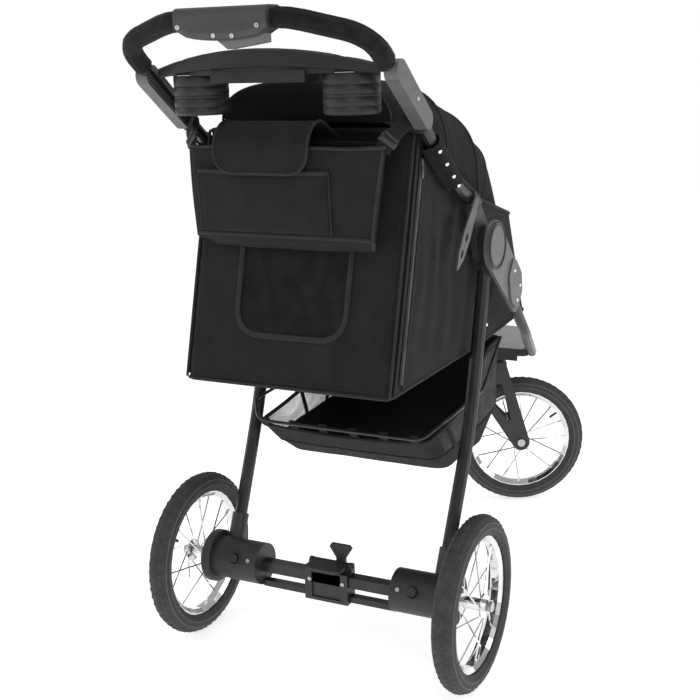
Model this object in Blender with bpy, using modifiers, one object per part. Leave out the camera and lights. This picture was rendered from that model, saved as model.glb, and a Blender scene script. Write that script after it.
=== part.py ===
"""Three-wheeled pet stroller: a fabric cabin on a folding tube frame with air-tyred wheels.

Metres, +Z up, the stroller faces -Y. Sizes are laid out from the rear axle: Y is 0 at the rear
axle and Z is 0 on the ground. One empty carries the whole stroller, so that the middle of its
footprint stands on the world origin.
"""

import math

import bmesh
import bpy
from mathutils import Matrix, Vector, geometry

# ---------------------------------------------------------------- driving dimensions

# Wheels: one size all round
WHEEL_RADIUS = 0.1525
TYRE_SECTION = 0.0205
RIM_RADIUS = 0.1178
RIM_HALF_WIDTH = 0.012
RIM_DEPTH = 0.010
SPOKES_PER_SIDE = 8
WHEEL_STEPS = 32
SPOKE_RADIUS = 0.0015
SPOKE_LEAN = math.radians(42)
HUB_RADIUS = 0.0105
HUB_FLANGE_RADIUS = 0.0215
HUB_FLANGE_X = 0.019
HUB_HALF_LENGTH = 0.0270
AXLE_RADIUS = 0.0050
NUT_RADIUS = 0.0090
NUT_LENGTH = 0.0060
TRACK = 0.551

# Front fork: a castor, standing at the angle it was left at
SWIVEL_Y = -0.847
SWIVEL_ANGLE = math.radians(116.5)
FORK_TRAIL = 0.064
FORK_PLATE = 0.0065
FORK_END_RADIUS = 0.0205
CROWN_TOP = 0.349
CROWN_HEIGHT = 0.030
STEM_RADIUS = 0.0110
STEM_TOP = 0.396

# Rear axle assembly
HOUSING_RADIUS = 0.0385
HOUSING_INNER_X = 0.134
COLLAR_RADIUS = 0.0485
COLLAR_WIDTH = 0.019
SOCKET_TOP_Z = 0.224
UPPER_BEAM = (0.022, 0.020)
LOWER_BEAM = (0.016, 0.011)
BEAM_GAP = 0.018
BUTTON_X = 0.178
BUTTON_TILT = math.radians(26)
BUTTON_RADIUS = 0.0085
BUTTON_PROUD = 0.0060
BUTTON_TRAVEL = 0.0040

# Frame tubes
LEG_RADIUS = 0.0120
FRONT_TUBE_RADIUS = 0.0105
HANDLE_TUBE_RADIUS = 0.0110
HANDLE_X = 0.210
FRONT_TUBE_X = 0.2160
FRONT_TUBE_END_X = 0.135

# Folding hinge
HINGE_Y = -0.217
HINGE_Z = 0.730
HINGE_DISC_RADIUS = 0.0445
HINGE_CAP_RADIUS = 0.0415
KNUCKLE_RADIUS = 0.034
PIN_RADIUS = 0.006
ARM_INNER_X = 0.2030
ARM_THICKNESS = 0.0125
HOUSING_THICKNESS = 0.0060
CAP_THICKNESS = 0.0040

# Handle
FOAM_WALL = 0.0042
CONSOLE_X = 0.0
CONSOLE_LENGTH = 0.155
CONSOLE_DEPTH = 0.044
FOAM_GAP = 0.004
TRIGGER_TRAVEL = 0.006

# Tray between the handle tubes
TRAY_HALF_WIDTH = 0.1925
TRAY_FRONT_Y = 0.078
TRAY_DECK_Z = 1.036
TRAY_DECK_THICKNESS = 0.006
CUP_X = 0.133
CUP_Y = 0.124
CUP_RADIUS = 0.0435
CUP_WALL = 0.0025
CUP_BOTTOM_Z = 0.975
BIN_HALF_WIDTH = 0.082
BIN_REAR_Y = 0.175
BIN_BOTTOM_Z = 1.024
BIN_WALL = 0.003

# Fabric body
CABIN_HALF_WIDTH = 0.190
CABIN_WALL = 0.004
CABIN_FLOOR_Z = 0.535
CABIN_REAR_Y = 0.135
CABIN_FRONT_Y = -0.596
REAR_PANEL_TOP_Z = 0.945
REAR_PANEL_LEAN = 0.276
CABIN_FRONT_TOP = (-0.484, 0.745)
CABIN_NOSE_HALF_WIDTH = CABIN_HALF_WIDTH - 0.022
CABIN_TAPER_Y = -0.250
BOARD_THICKNESS = 0.006
HOOD_HALF_WIDTH = CABIN_HALF_WIDTH - 0.0015
HOOD_WALL = 0.0035
CANOPY_PIVOT = (-0.156, 0.588)
CANOPY_RADIUS = 0.388
CANOPY_SIDE_GAP = 0.0035
CANOPY_SHOULDER = 0.62
CANOPY_REAR_ANGLE = math.radians(101)
CANOPY_FRONT_ANGLE = math.radians(152)
CANOPY_BOW_RADIUS = 0.003

# Organiser bag and basket
BAG_HALF_WIDTH = CABIN_HALF_WIDTH - 0.022
BAG_REAR_Y = 0.125
BAG_TOP_Z = 0.925
BAG_BOTTOM_Z = 0.785
BAG_WALL = 0.004
POCKET_THICKNESS = 0.004
FLAP_THICKNESS = 0.0045
BASKET_HALF_WIDTH = 0.172
BASKET_REAR_Y = -0.052
BASKET_FRONT_Y = -0.425
BASKET_FLOOR_Z = 0.322
BASKET_WALL = 0.004
BASKET_WIRE_RADIUS = 0.003
BASKET_WIRE_X = 0.191
WIRE_BEND = 0.03

# Named clearances
TOUCH = 0.0003
SLIP = 0.0005
RUNNING = 0.0006
FREE = 0.0015

# Derived places
AXLE_Z = WHEEL_RADIUS
WHEEL_X = TRACK / 2
COLLAR_OUTER_X = WHEEL_X - HUB_HALF_LENGTH - FREE
COLLAR_INNER_X = COLLAR_OUTER_X - COLLAR_WIDTH
HINGE = (HINGE_Y, HINGE_Z)
LEG_KNUCKLE_X = ARM_INNER_X + ARM_THICKNESS + RUNNING
COVER_X = LEG_KNUCKLE_X + ARM_THICKNESS + RUNNING
LEG_TOP_X = COVER_X - LEG_RADIUS - 2 * RUNNING
CAP_X = COVER_X + HOUSING_THICKNESS + TOUCH
TORUS_REACH = WHEEL_RADIUS - TYRE_SECTION
FRONT_WHEEL_Y = SWIVEL_Y + FORK_TRAIL * math.cos(SWIVEL_ANGLE)
FRONT_END_Y = FRONT_WHEEL_Y - TORUS_REACH * abs(math.cos(SWIVEL_ANGLE)) - TYRE_SECTION
HANDLE_BOW_Y = 0.250
REAR_END_Y = HANDLE_BOW_Y + CONSOLE_DEPTH / 2
MIDDLE_Y = (FRONT_END_Y + REAR_END_Y) / 2

# ---------------------------------------------------------------- scene set-up

for old in list(bpy.data.objects):
    bpy.data.objects.remove(old)

PARTS = bpy.data.collections.new("pet_stroller")
bpy.context.scene.collection.children.link(PARTS)


def finish(name, colour, roughness, metallic=0.0):
    """A Principled material with one colour."""
    made = bpy.data.materials.new(name)
    made.use_nodes = True
    shader = made.node_tree.nodes["Principled BSDF"]
    shader.inputs["Base Color"].default_value = (*colour, 1.0)
    shader.inputs["Roughness"].default_value = roughness
    shader.inputs["Metallic"].default_value = metallic
    made.diffuse_color = (*colour, 1.0)
    return made


TYRE = finish("tyre_rubber", (0.045, 0.045, 0.047), 0.85)
CHROME = finish("bright_chrome", (0.80, 0.80, 0.82), 0.12, 1.0)
STEEL = finish("brushed_steel", (0.62, 0.62, 0.64), 0.35, 1.0)
PAINT = finish("black_tube_paint", (0.012, 0.012, 0.013), 0.22)
PLASTIC = finish("black_plastic", (0.022, 0.022, 0.024), 0.50)
GREY_PLASTIC = finish("grey_plastic", (0.105, 0.107, 0.112), 0.45)
TRAY_PLASTIC = finish("tray_plastic", (0.030, 0.031, 0.033), 0.42)
PALE_PLASTIC = finish("pale_grey_plastic", (0.36, 0.37, 0.38), 0.55)
FOAM = finish("black_foam", (0.020, 0.020, 0.021), 0.92)
FABRIC = finish("black_polyester", (0.018, 0.018, 0.020), 0.90)
BOARD = finish("base_board", (0.060, 0.060, 0.062), 0.80)

# ---------------------------------------------------------------- shape tools


def link(name, mesh):
    """A new object of the stroller around this mesh."""
    obj = bpy.data.objects.new(name, mesh)
    PARTS.objects.link(obj)
    return obj


def from_bmesh(name, bm):
    """An object from this bmesh, with its faces turned outwards."""
    bmesh.ops.recalc_face_normals(bm, faces=bm.faces)
    mesh = bpy.data.meshes.new(name)
    bm.to_mesh(mesh)
    bm.free()
    return link(name, mesh)


def settle(obj):
    """Applies the object's modifiers, or turns a curve into a welded mesh object."""
    bpy.context.view_layer.update()
    graph = bpy.context.evaluated_depsgraph_get()
    mesh = bpy.data.meshes.new_from_object(obj.evaluated_get(graph))
    bm = bmesh.new()
    bm.from_mesh(mesh)
    bmesh.ops.remove_doubles(bm, verts=bm.verts, dist=1e-6)
    bm.to_mesh(mesh)
    bm.free()
    name, place = obj.name, obj.matrix_world.copy()
    bpy.data.objects.remove(obj)
    mesh.name = name
    made = link(name, mesh)
    made.data.transform(place)
    return made


def block(name, low, high):
    """A box between two corners."""
    bm = bmesh.new()
    low, high = Vector(low), Vector(high)
    size = Matrix.Diagonal((*(high - low), 1.0))
    bmesh.ops.create_cube(bm, size=1.0, matrix=Matrix.Translation((low + high) / 2) @ size)
    return from_bmesh(name, bm)


def rod(name, start, end, radius, sides=16):
    """A round rod between two points."""
    start, end = Vector(start), Vector(end)
    along = end - start
    turn = along.to_track_quat("Z", "Y").to_matrix().to_4x4()
    bm = bmesh.new()
    bmesh.ops.create_cone(
        bm,
        cap_ends=True,
        segments=sides,
        radius1=radius,
        radius2=radius,
        depth=along.length,
        matrix=Matrix.Translation((start + end) / 2) @ turn,
    )
    return from_bmesh(name, bm)


def turned(name, profile, steps=32, axis="X"):
    """A profile of (radius, along) points turned about an axis; a closed one repeats its first."""
    mesh = bpy.data.meshes.new(name)
    points = [(radius, 0.0, along) for radius, along in profile]
    mesh.from_pydata(points, [(i, i + 1) for i in range(len(points) - 1)], [])
    obj = link(name, mesh)
    screw = obj.modifiers.new("turn", "SCREW")
    screw.axis = "Z"
    screw.steps = steps
    screw.render_steps = steps
    screw.use_merge_vertices = True
    screw.merge_threshold = 1e-5
    made = settle(obj)
    if axis == "X":
        made.data.transform(Matrix.Rotation(math.pi / 2, 4, "Y"))
    bm = bmesh.new()
    bm.from_mesh(made.data)
    bmesh.ops.recalc_face_normals(bm, faces=bm.faces)
    bm.to_mesh(made.data)
    bm.free()
    return made


def poly_curve(name, path, radius, caps, detail=2):
    """A round wire along a path, as a curve object."""
    curve = bpy.data.curves.new(name, "CURVE")
    curve.dimensions = "3D"
    curve.bevel_depth = radius
    curve.bevel_resolution = detail
    curve.use_fill_caps = caps
    spline = curve.splines.new("POLY")
    spline.points.add(len(path) - 1)
    for point, place in zip(spline.points, path):
        point.co = (*place, 1.0)
    return link(name, curve)


def tube(name, path, radius, detail=3):
    """A solid round bar along a path."""
    return settle(poly_curve(name, path, radius, True, detail))


def sleeve(name, path, inner_radius, wall, detail=3):
    """An open-ended hollow sleeve along a path."""
    obj = poly_curve(name, path, inner_radius, False, detail)
    skin = settle(obj)
    solid = skin.modifiers.new("wall", "SOLIDIFY")
    solid.thickness = wall
    solid.offset = 1.0
    return settle(skin)


# An outline's two coordinates and its thickness, laid along these world axes
SIDEWAYS = Matrix(((0, 0, 1), (1, 0, 0), (0, 1, 0))).to_4x4()
UPRIGHT = Matrix(((1, 0, 0), (0, 0, -1), (0, 1, 0))).to_4x4()
LEVEL = Matrix.Identity(4)


def slab(name, outline, start, end, lie=SIDEWAYS):
    """A flat outline with thickness, from start to end along its normal."""
    curve = bpy.data.curves.new(name, "CURVE")
    curve.dimensions = "2D"
    curve.fill_mode = "BOTH"
    curve.extrude = abs(end - start) / 2
    spline = curve.splines.new("POLY")
    spline.points.add(len(outline) - 1)
    for point, place in zip(spline.points, outline):
        point.co = (*place, 0.0, 1.0)
    spline.use_cyclic_u = True
    obj = link(name, curve)
    obj.matrix_world = lie @ Matrix.Translation((0, 0, (start + end) / 2))
    return settle(obj)


def loft(name, rings, caps=True):
    """A skin through rings of points, closed at both ends."""
    bm = bmesh.new()
    rows = [[bm.verts.new(point) for point in ring] for ring in rings]
    count = len(rows[0])
    for one, two in zip(rows, rows[1:]):
        for i in range(count):
            j = (i + 1) % count
            bm.faces.new((one[i], one[j], two[j], two[i]))
    if caps:
        bm.faces.new(rows[0])
        bm.faces.new(rows[-1])
    return from_bmesh(name, bm)


def sheet(name, rows):
    """An open skin through rows of points."""
    bm = bmesh.new()
    grid = [[bm.verts.new(point) for point in row] for row in rows]
    for one, two in zip(grid, grid[1:]):
        for i in range(len(one) - 1):
            bm.faces.new((one[i], one[i + 1], two[i + 1], two[i]))
    return from_bmesh(name, bm)


def thicken(obj, wall):
    """Gives an open skin its wall, on its inner side."""
    solid = obj.modifiers.new("wall", "SOLIDIFY")
    solid.thickness = wall
    solid.offset = -1.0
    return settle(obj)


def combine(obj, operation, tools):
    """Runs one exact Boolean for each tool on the object, and removes the tools."""
    name = obj.name
    for tool in tools:
        step = obj.modifiers.new(operation.lower(), "BOOLEAN")
        step.operation = operation
        step.solver = "EXACT"
        step.object = tool
    made = settle(obj)
    for tool in tools:
        bpy.data.objects.remove(tool)
    made.name = name
    return made


def carve(obj, *tools):
    """Cuts the tools out of the object."""
    return combine(obj, "DIFFERENCE", tools)


def join(obj, *tools):
    """Makes the object and the tools one body."""
    return combine(obj, "UNION", tools)


# ---------------------------------------------------------------- outlines and paths


def mirrored(path):
    """A path followed by its mirror image in X, for a piece symmetric about the middle."""
    return list(path) + [(-x, y, z) for x, y, z in reversed(path) if abs(x) > 1e-9]


def bent(corners, radii, turn_step=math.radians(14)):
    """A bar bent at its inner corners to these radii."""
    corners = [Vector(corner) for corner in corners]
    path = [corners[0]]
    for before, corner, after, radius in zip(corners, corners[1:], corners[2:], radii):
        arriving = (corner - before).normalized()
        leaving = (after - corner).normalized()
        turn = arriving.angle(leaving)
        reach = radius * math.tan(turn / 2)
        normal = arriving.cross(leaving).normalized()
        inward = normal.cross(arriving)
        centre = corner - arriving * reach + inward * radius
        count = max(2, round(turn / turn_step))
        for i in range(count + 1):
            swing = Matrix.Rotation(turn * i / count, 3, normal)
            path.append(centre + swing @ (-inward * radius))
    path.append(corners[-1])
    return [tuple(point) for point in path]


def path_length(path):
    """Running length at each point of a path."""
    total = [0.0]
    for one, two in zip(path, path[1:]):
        total.append(total[-1] + (Vector(two) - Vector(one)).length)
    return total


def point_at(path, distance):
    """The point this far along a path."""
    total = path_length(path)
    for i in range(len(path) - 1):
        if distance <= total[i + 1]:
            share = (distance - total[i]) / (total[i + 1] - total[i])
            return tuple(Vector(path[i]).lerp(Vector(path[i + 1]), share))
    return tuple(path[-1])


def stretch(path, start, end):
    """The part of a path between two distances along it."""
    total = path_length(path)
    inner = [path[i] for i in range(len(path)) if start + 1e-5 < total[i] < end - 1e-5]
    return [point_at(path, start), *inner, point_at(path, end)]


def distance_where(path, axis, value):
    """How far along a path one coordinate first reaches a value."""
    total = path_length(path)
    for i in range(len(path) - 1):
        low, high = path[i][axis], path[i + 1][axis]
        if min(low, high) <= value <= max(low, high) and low != high:
            return total[i] + (total[i + 1] - total[i]) * (value - low) / (high - low)
    return total[-1]


def circle(centre, radius, sides=24, start=0.0):
    """Points round a circle."""
    steps = [start + 2 * math.pi * i / sides for i in range(sides)]
    return [(centre[0] + radius * math.cos(a), centre[1] + radius * math.sin(a)) for a in steps]


def wrap(*discs, sides=24):
    """The outline of a band pulled round these (y, z, radius) discs."""
    points = [point for y, z, radius in discs for point in circle((y, z), radius, sides)]
    hull = geometry.convex_hull_2d([Vector(point) for point in points])
    return [points[i] for i in hull]


def rounded(corners, radius, steps=3):
    """A convex outline with its corners rounded."""
    made = []
    count = len(corners)
    for i in range(count):
        before, corner, after = (Vector(corners[(i + k) % count]) for k in (-1, 0, 1))
        arriving, leaving = (corner - before).normalized(), (after - corner).normalized()
        turn = math.atan2(arriving.cross(leaving), arriving.dot(leaving))
        room = min((corner - before).length, (after - corner).length) * 0.45
        reach = min(abs(radius * math.tan(turn / 2)), room)
        start, end = corner - arriving * reach, corner + leaving * reach
        for k in range(steps + 1):
            share = k / steps
            one, two = start.lerp(corner, share), corner.lerp(end, share)
            made.append(tuple(one.lerp(two, share)))
    return made


def inset(outline, wall):
    """A convex outline moved in by a wall on every side."""
    count = len(outline)
    area = sum(
        outline[i][0] * outline[(i + 1) % count][1] - outline[(i + 1) % count][0] * outline[i][1]
        for i in range(count)
    )
    side = 1.0 if area > 0 else -1.0
    lines = []
    for i in range(count):
        one, two = Vector(outline[i]), Vector(outline[(i + 1) % count])
        along = (two - one).normalized()
        inward = Vector((-along.y, along.x)) * side
        lines.append((one + inward * wall, along))
    made = []
    for i in range(count):
        (point, along), (other, across) = lines[i - 1], lines[i]
        cross = along.cross(across)
        share = (other - point).cross(across) / cross
        made.append(tuple(point + along * share))
    return made


# ---------------------------------------------------------------- bodies


def pivot(name, carrier, place, turn=0.0):
    """An empty on a joint's axis, which carries the pieces that move together."""
    empty = bpy.data.objects.new(name, None)
    PARTS.objects.link(empty)
    empty.parent = carrier
    empty.location = place
    empty.rotation_euler = (0, 0, turn)
    empty.empty_display_size = 0.03
    return empty


STROLLER = pivot("stroller", None, (0, -MIDDLE_Y, 0))
HANDLE_PIVOT = pivot("handle_pivot", STROLLER, (0, *HINGE))
REAR_PIVOT = pivot("rear_frame_pivot", STROLLER, (0, *HINGE))
CANOPY_BODY = pivot("canopy_pivot", STROLLER, (0, *CANOPY_PIVOT))
FORK_PIVOT = pivot("fork_pivot", STROLLER, (0, SWIVEL_Y, CROWN_TOP), SWIVEL_ANGLE)


def offset_of(body):
    """Where a body's empty stands, counted from the rear axle."""
    place = Vector((0, 0, 0))
    while body is not None and body != STROLLER:
        place += body.location
        body = body.parent
    return place


def seat(obj, body, origin, material):
    """Puts a piece, modelled in place, on its body, with its own origin where it is held."""
    origin = Vector(origin)
    obj.data.transform(Matrix.Translation(-origin))
    obj.parent = body
    obj.location = origin - offset_of(body)
    obj.data.materials.clear()
    obj.data.materials.append(material)
    obj.data.shade_smooth()
    obj.data.set_sharp_from_angle(angle=math.radians(35))
    return obj


# ---------------------------------------------------------------- wheels


def tyre_profile():
    """Section of an air tyre that sits on the rim, as a closed outline."""
    middle = WHEEL_RADIUS - TYRE_SECTION
    seat_radius = RIM_RADIUS + TOUCH
    open_angle = math.acos((seat_radius - middle) / TYRE_SECTION)
    steps = 8
    arc = [open_angle - 2 * open_angle * i / steps for i in range(steps + 1)]
    points = [(middle + TYRE_SECTION * math.cos(a), TYRE_SECTION * math.sin(a)) for a in arc]
    return [*points, points[0]]


def wheel(name):
    """A spoked rim with its hub, turned about X, as one body."""
    inner, half = RIM_RADIUS - RIM_DEPTH, RIM_HALF_WIDTH
    lip = 0.0025
    rim = turned(
        name,
        [
            (RIM_RADIUS, half),
            (RIM_RADIUS, -half),
            (RIM_RADIUS - lip, -half),
            (inner, -half * 0.55),
            (inner, half * 0.55),
            (RIM_RADIUS - lip, half),
            (RIM_RADIUS, half),
        ],
        WHEEL_STEPS,
    )
    bore = AXLE_RADIUS + RUNNING
    flange, barrel = HUB_FLANGE_RADIUS, HUB_RADIUS
    web = 0.0015
    hub = turned(
        "hub_blank",
        [
            (bore, HUB_HALF_LENGTH),
            (barrel, HUB_HALF_LENGTH),
            (barrel, HUB_FLANGE_X + web),
            (flange, HUB_FLANGE_X + web),
            (flange, HUB_FLANGE_X - web),
            (barrel, HUB_FLANGE_X - 3 * web),
            (barrel, -HUB_FLANGE_X + 3 * web),
            (flange, -HUB_FLANGE_X + web),
            (flange, -HUB_FLANGE_X - web),
            (barrel, -HUB_FLANGE_X - web),
            (barrel, -HUB_HALF_LENGTH),
            (bore, -HUB_HALF_LENGTH),
            (bore, HUB_HALF_LENGTH),
        ],
        16,
    )
    spokes = []
    hub_reach, rim_reach = flange - 0.003, inner + 0.003
    for side in (1, -1):
        for i in range(SPOKES_PER_SIDE):
            rim_angle = 2 * math.pi * (i + (0.5 if side > 0 else 0.0)) / SPOKES_PER_SIDE
            hub_angle = rim_angle + side * SPOKE_LEAN
            start = (
                side * HUB_FLANGE_X,
                hub_reach * math.cos(hub_angle),
                hub_reach * math.sin(hub_angle),
            )
            end = (side * 0.002, rim_reach * math.cos(rim_angle), rim_reach * math.sin(rim_angle))
            spokes.append(rod(f"spoke_blank_{side}_{i}", start, end, SPOKE_RADIUS, 4))
    return join(rim, hub, *spokes)


def add_wheel(label, body):
    """A tyre and its spoked wheel on a wheel body."""
    centre = offset_of(body)
    for piece, material in (
        (turned(f"{label}_tyre", tyre_profile(), WHEEL_STEPS), TYRE),
        (wheel(f"{label}_wheel"), CHROME),
    ):
        piece.data.transform(Matrix.Translation(centre))
        seat(piece, body, centre, material)


def axle_profile(start, end):
    """An axle with a nut on its outer end, as a turned outline."""
    return [
        (0, end + NUT_LENGTH),
        (NUT_RADIUS, end + NUT_LENGTH),
        (NUT_RADIUS, end),
        (AXLE_RADIUS, end),
        (AXLE_RADIUS, start),
        (0, start),
    ]


# ---------------------------------------------------------------- rear frame

LEG_CORNER = (LEG_TOP_X, -0.1410, 0.420)
LEG_TOP = (LEG_TOP_X, -0.2125, 0.684)
LEG_BEND_RADIUS = 0.9
SOCKET_WALL = 0.0035
LEG_SPLAY = 0.0045
LEG_FOOT_X = min(LEG_TOP_X - LEG_SPLAY, COLLAR_INNER_X - LEG_RADIUS - SOCKET_WALL - 0.001)
LEG_FOOT = (LEG_FOOT_X, -0.0415, SOCKET_TOP_Z - 0.012)


def leg_path(side):
    """Centre line of a rear leg, foot to hinge."""
    foot, corner, top = ((side * x, y, z) for x, y, z in (LEG_FOOT, LEG_CORNER, LEG_TOP))
    return bent([foot, corner, top], [LEG_BEND_RADIUS], math.radians(3))


def hinge_eye(name, side, inner_x, end, radius):
    """A flat eye that turns on the hinge pin and reaches out to a tube's end."""
    low, high = sorted((side * inner_x, side * (inner_x + ARM_THICKNESS)))
    plate = slab(name, wrap((*HINGE, KNUCKLE_RADIUS), (end[1], end[2], radius)), low, high)
    return carve(
        plate, rod("pin_blank", (low - 0.01, *HINGE), (high + 0.01, *HINGE), PIN_RADIUS + RUNNING)
    )


def rear_frame(side, letter):
    """A rear leg with its hinge knuckle, axle housing, collar, axle and release button."""
    path = leg_path(side)
    eye = hinge_eye("eye_blank", side, LEG_KNUCKLE_X, path[-1], LEG_RADIUS - 0.001)
    leg = join(tube(f"rear_leg_{letter}", path, LEG_RADIUS), eye)
    seat(leg, REAR_PIVOT, (side * LEG_TOP_X, *HINGE), PAINT)

    foot, above = Vector(path[0]), Vector(path[1])
    along = (above - foot).normalized()
    axle = Vector((side * HOUSING_INNER_X, 0, AXLE_Z))
    collar_inner = Vector((side * (COLLAR_INNER_X - TOUCH), 0, AXLE_Z))
    housing = rod(f"axle_housing_{letter}", axle, collar_inner, HOUSING_RADIUS, 32)
    reach = (foot.z - AXLE_Z) / along.z
    socket_top = foot + along * ((SOCKET_TOP_Z - foot.z) / along.z)
    socket = rod("socket_blank", foot - along * reach, socket_top, LEG_RADIUS + SOCKET_WALL)
    bore = rod("bore_blank", foot - along * TOUCH, socket_top + along * 0.02, LEG_RADIUS + SLIP)
    out = Vector((0, math.cos(BUTTON_TILT), math.sin(BUTTON_TILT)))
    button_axis = Vector((side * BUTTON_X, 0, AXLE_Z))
    well_floor = HOUSING_RADIUS - BUTTON_TRAVEL - 0.006
    well = rod(
        "well_blank",
        button_axis + out * well_floor,
        button_axis + out * (HOUSING_RADIUS + 0.01),
        BUTTON_RADIUS + RUNNING,
    )
    housing = carve(join(housing, socket), bore, well)
    seat(housing, REAR_PIVOT, axle, PLASTIC)

    collar = turned(
        f"hub_collar_{letter}",
        [
            (0, COLLAR_WIDTH),
            (COLLAR_RADIUS - 0.004, COLLAR_WIDTH),
            (COLLAR_RADIUS, COLLAR_WIDTH - 0.004),
            (COLLAR_RADIUS, 0.002),
            (COLLAR_RADIUS - 0.002, 0),
            (0, 0),
        ],
        32,
    )
    if side < 0:
        collar.data.transform(Matrix.Rotation(math.pi, 4, "Z"))
    collar.data.transform(Matrix.Translation((side * COLLAR_INNER_X, 0, AXLE_Z)))
    seat(collar, REAR_PIVOT, (side * COLLAR_INNER_X, 0, AXLE_Z), PLASTIC)

    stub_end = WHEEL_X + HUB_HALF_LENGTH + FREE
    stub = turned(f"rear_axle_{letter}", axle_profile(COLLAR_OUTER_X + TOUCH, stub_end), 20)
    if side < 0:
        stub.data.transform(Matrix.Rotation(math.pi, 4, "Z"))
    stub.data.transform(Matrix.Translation((0, 0, AXLE_Z)))
    seat(stub, REAR_PIVOT, (side * WHEEL_X, 0, AXLE_Z), STEEL)

    button = rod(
        f"release_button_{letter}",
        button_axis + out * (well_floor + BUTTON_TRAVEL + TOUCH),
        button_axis + out * (HOUSING_RADIUS + BUTTON_PROUD),
        BUTTON_RADIUS,
    )
    place = button_axis + out * HOUSING_RADIUS
    body = pivot(f"release_slide_{letter}", REAR_PIVOT, place - offset_of(REAR_PIVOT))
    seat(button, body, place, PLASTIC)

    centre = Vector((side * WHEEL_X, 0, AXLE_Z))
    body = pivot(f"rear_wheel_pivot_{letter}", REAR_PIVOT, centre - offset_of(REAR_PIVOT))
    add_wheel(f"rear_{letter}", body)


UPPER_BEAM_Z = AXLE_Z - 0.001
LOWER_BEAM_Z = UPPER_BEAM_Z - UPPER_BEAM[1] / 2 - BEAM_GAP - LOWER_BEAM[1] / 2
BRACKET_HALF = 0.043
BRACKET_WALL = 0.004
BRAKE_PIVOT = (-0.010, UPPER_BEAM_Z + UPPER_BEAM[1] / 2 + BRACKET_WALL + 0.008)
PAD_THICKNESS = 0.006


def beam(name, size, z, grow=0.0, reach=None):
    """A cross bar between the axle housings, or its cutter when grown."""
    half = HOUSING_INNER_X - TOUCH if reach is None else reach
    depth, height = size[0] / 2 + grow, size[1] / 2 + grow
    return block(name, (-half, -depth, z - height), (half, depth, z + height))


def rear_cross_parts():
    """The two cross bars, the brake bracket clipped round them and the rocking brake pedal."""
    upper = beam("axle_beam_upper", UPPER_BEAM, UPPER_BEAM_Z)
    seat(upper, REAR_PIVOT, (0, 0, UPPER_BEAM_Z), PAINT)
    lower = beam("axle_beam_lower", LOWER_BEAM, LOWER_BEAM_Z)
    seat(lower, REAR_PIVOT, (0, 0, LOWER_BEAM_Z), PAINT)

    depth = UPPER_BEAM[0] / 2 + BRACKET_WALL
    top = UPPER_BEAM_Z + UPPER_BEAM[1] / 2 + BRACKET_WALL
    bottom = LOWER_BEAM_Z - LOWER_BEAM[1] / 2 - BRACKET_WALL
    bracket = block("brake_bracket", (-BRACKET_HALF, -depth, bottom), (BRACKET_HALF, depth, top))
    lugs = [
        slab(
            "lug_blank",
            wrap((*BRAKE_PIVOT, 0.007), (BRAKE_PIVOT[0], top - 0.004, 0.007)),
            x,
            x + 0.006,
        )
        for x in (-BRACKET_HALF, BRACKET_HALF - 0.006)
    ]
    recess_half = BRACKET_HALF - 0.014
    recess = block(
        "recess_blank", (-recess_half, depth - 0.0035, bottom + 0.006), (recess_half, 0.05, top + 0.01)
    )
    hole = rod(
        "hole_blank", (-0.06, *BRAKE_PIVOT), (0.06, *BRAKE_PIVOT), 0.003 + RUNNING, 16
    )
    bracket = carve(
        join(bracket, *lugs),
        beam("upper_blank", UPPER_BEAM, UPPER_BEAM_Z, SLIP, 0.06),
        beam("lower_blank", LOWER_BEAM, LOWER_BEAM_Z, SLIP, 0.06),
        recess,
        hole,
    )
    seat(bracket, REAR_PIVOT, (0, 0, UPPER_BEAM_Z), PLASTIC)

    y, z = BRAKE_PIVOT
    spindle = rod("brake_pedal", (-0.045, y, z), (0.045, y, z), 0.003, 16)
    half = BRACKET_HALF - 0.0075
    barrel = rod("barrel_blank", (-half, y, z), (half, y, z), 0.0062, 16)
    pad_rear = 0.034
    pad = slab(
        "pad_blank",
        rounded([(half, y), (half, pad_rear), (-half, pad_rear), (-half, y)], 0.014, 4),
        z - PAD_THICKNESS / 2 + 0.002,
        z + PAD_THICKNESS / 2 + 0.002,
        LEVEL,
    )
    paddle_x, paddle_top = -0.020, z + 0.040
    outline = [
        (paddle_x - 0.009, z),
        (paddle_x - 0.009, z + 0.014),
        (paddle_x - 0.022, paddle_top - 0.006),
        (paddle_x - 0.018, paddle_top),
        (paddle_x + 0.018, paddle_top),
        (paddle_x + 0.022, paddle_top - 0.006),
        (paddle_x + 0.009, z + 0.014),
        (paddle_x + 0.009, z),
    ]
    paddle = slab("paddle_blank", outline, -y - 0.003, -y + 0.003, UPRIGHT)
    pedal = join(spindle, barrel, pad, paddle)
    place = Vector((0, y, z))
    body = pivot("brake_pivot", REAR_PIVOT, place - offset_of(REAR_PIVOT))
    seat(pedal, body, place, PLASTIC)


# ---------------------------------------------------------------- front frame

FRONT_TUBE_START_Y = -0.292
FRONT_TUBE_START_Z = 0.672
FRONT_TUBE_CORNER = (-0.441, 0.521)
FRONT_TUBE_END = (-0.730, 0.407)
FRONT_BEND_RADIUS = 0.10
FRONT_SLEEVE = 0.070
FOOTBOARD_TOP = 0.425
FOOTBOARD_THICKNESS = 0.020
SOCKET_RADIUS = 0.0235


def front_tube_path(side):
    """Centre line of a front tube: down past the cabin, then inwards to the footboard."""
    return bent(
        [
            (side * FRONT_TUBE_X, FRONT_TUBE_START_Y, FRONT_TUBE_START_Z),
            (side * FRONT_TUBE_X, *FRONT_TUBE_CORNER),
            (side * FRONT_TUBE_END_X, *FRONT_TUBE_END),
        ],
        [FRONT_BEND_RADIUS],
        math.radians(9),
    )


LENS_OUTLINE = [(-0.309, 0.699), (-0.350, 0.660), (-0.355, 0.624), (-0.327, 0.589)]
LENS_OUTLINE += [(-0.293, 0.616), (-0.283, 0.662)]


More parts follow.
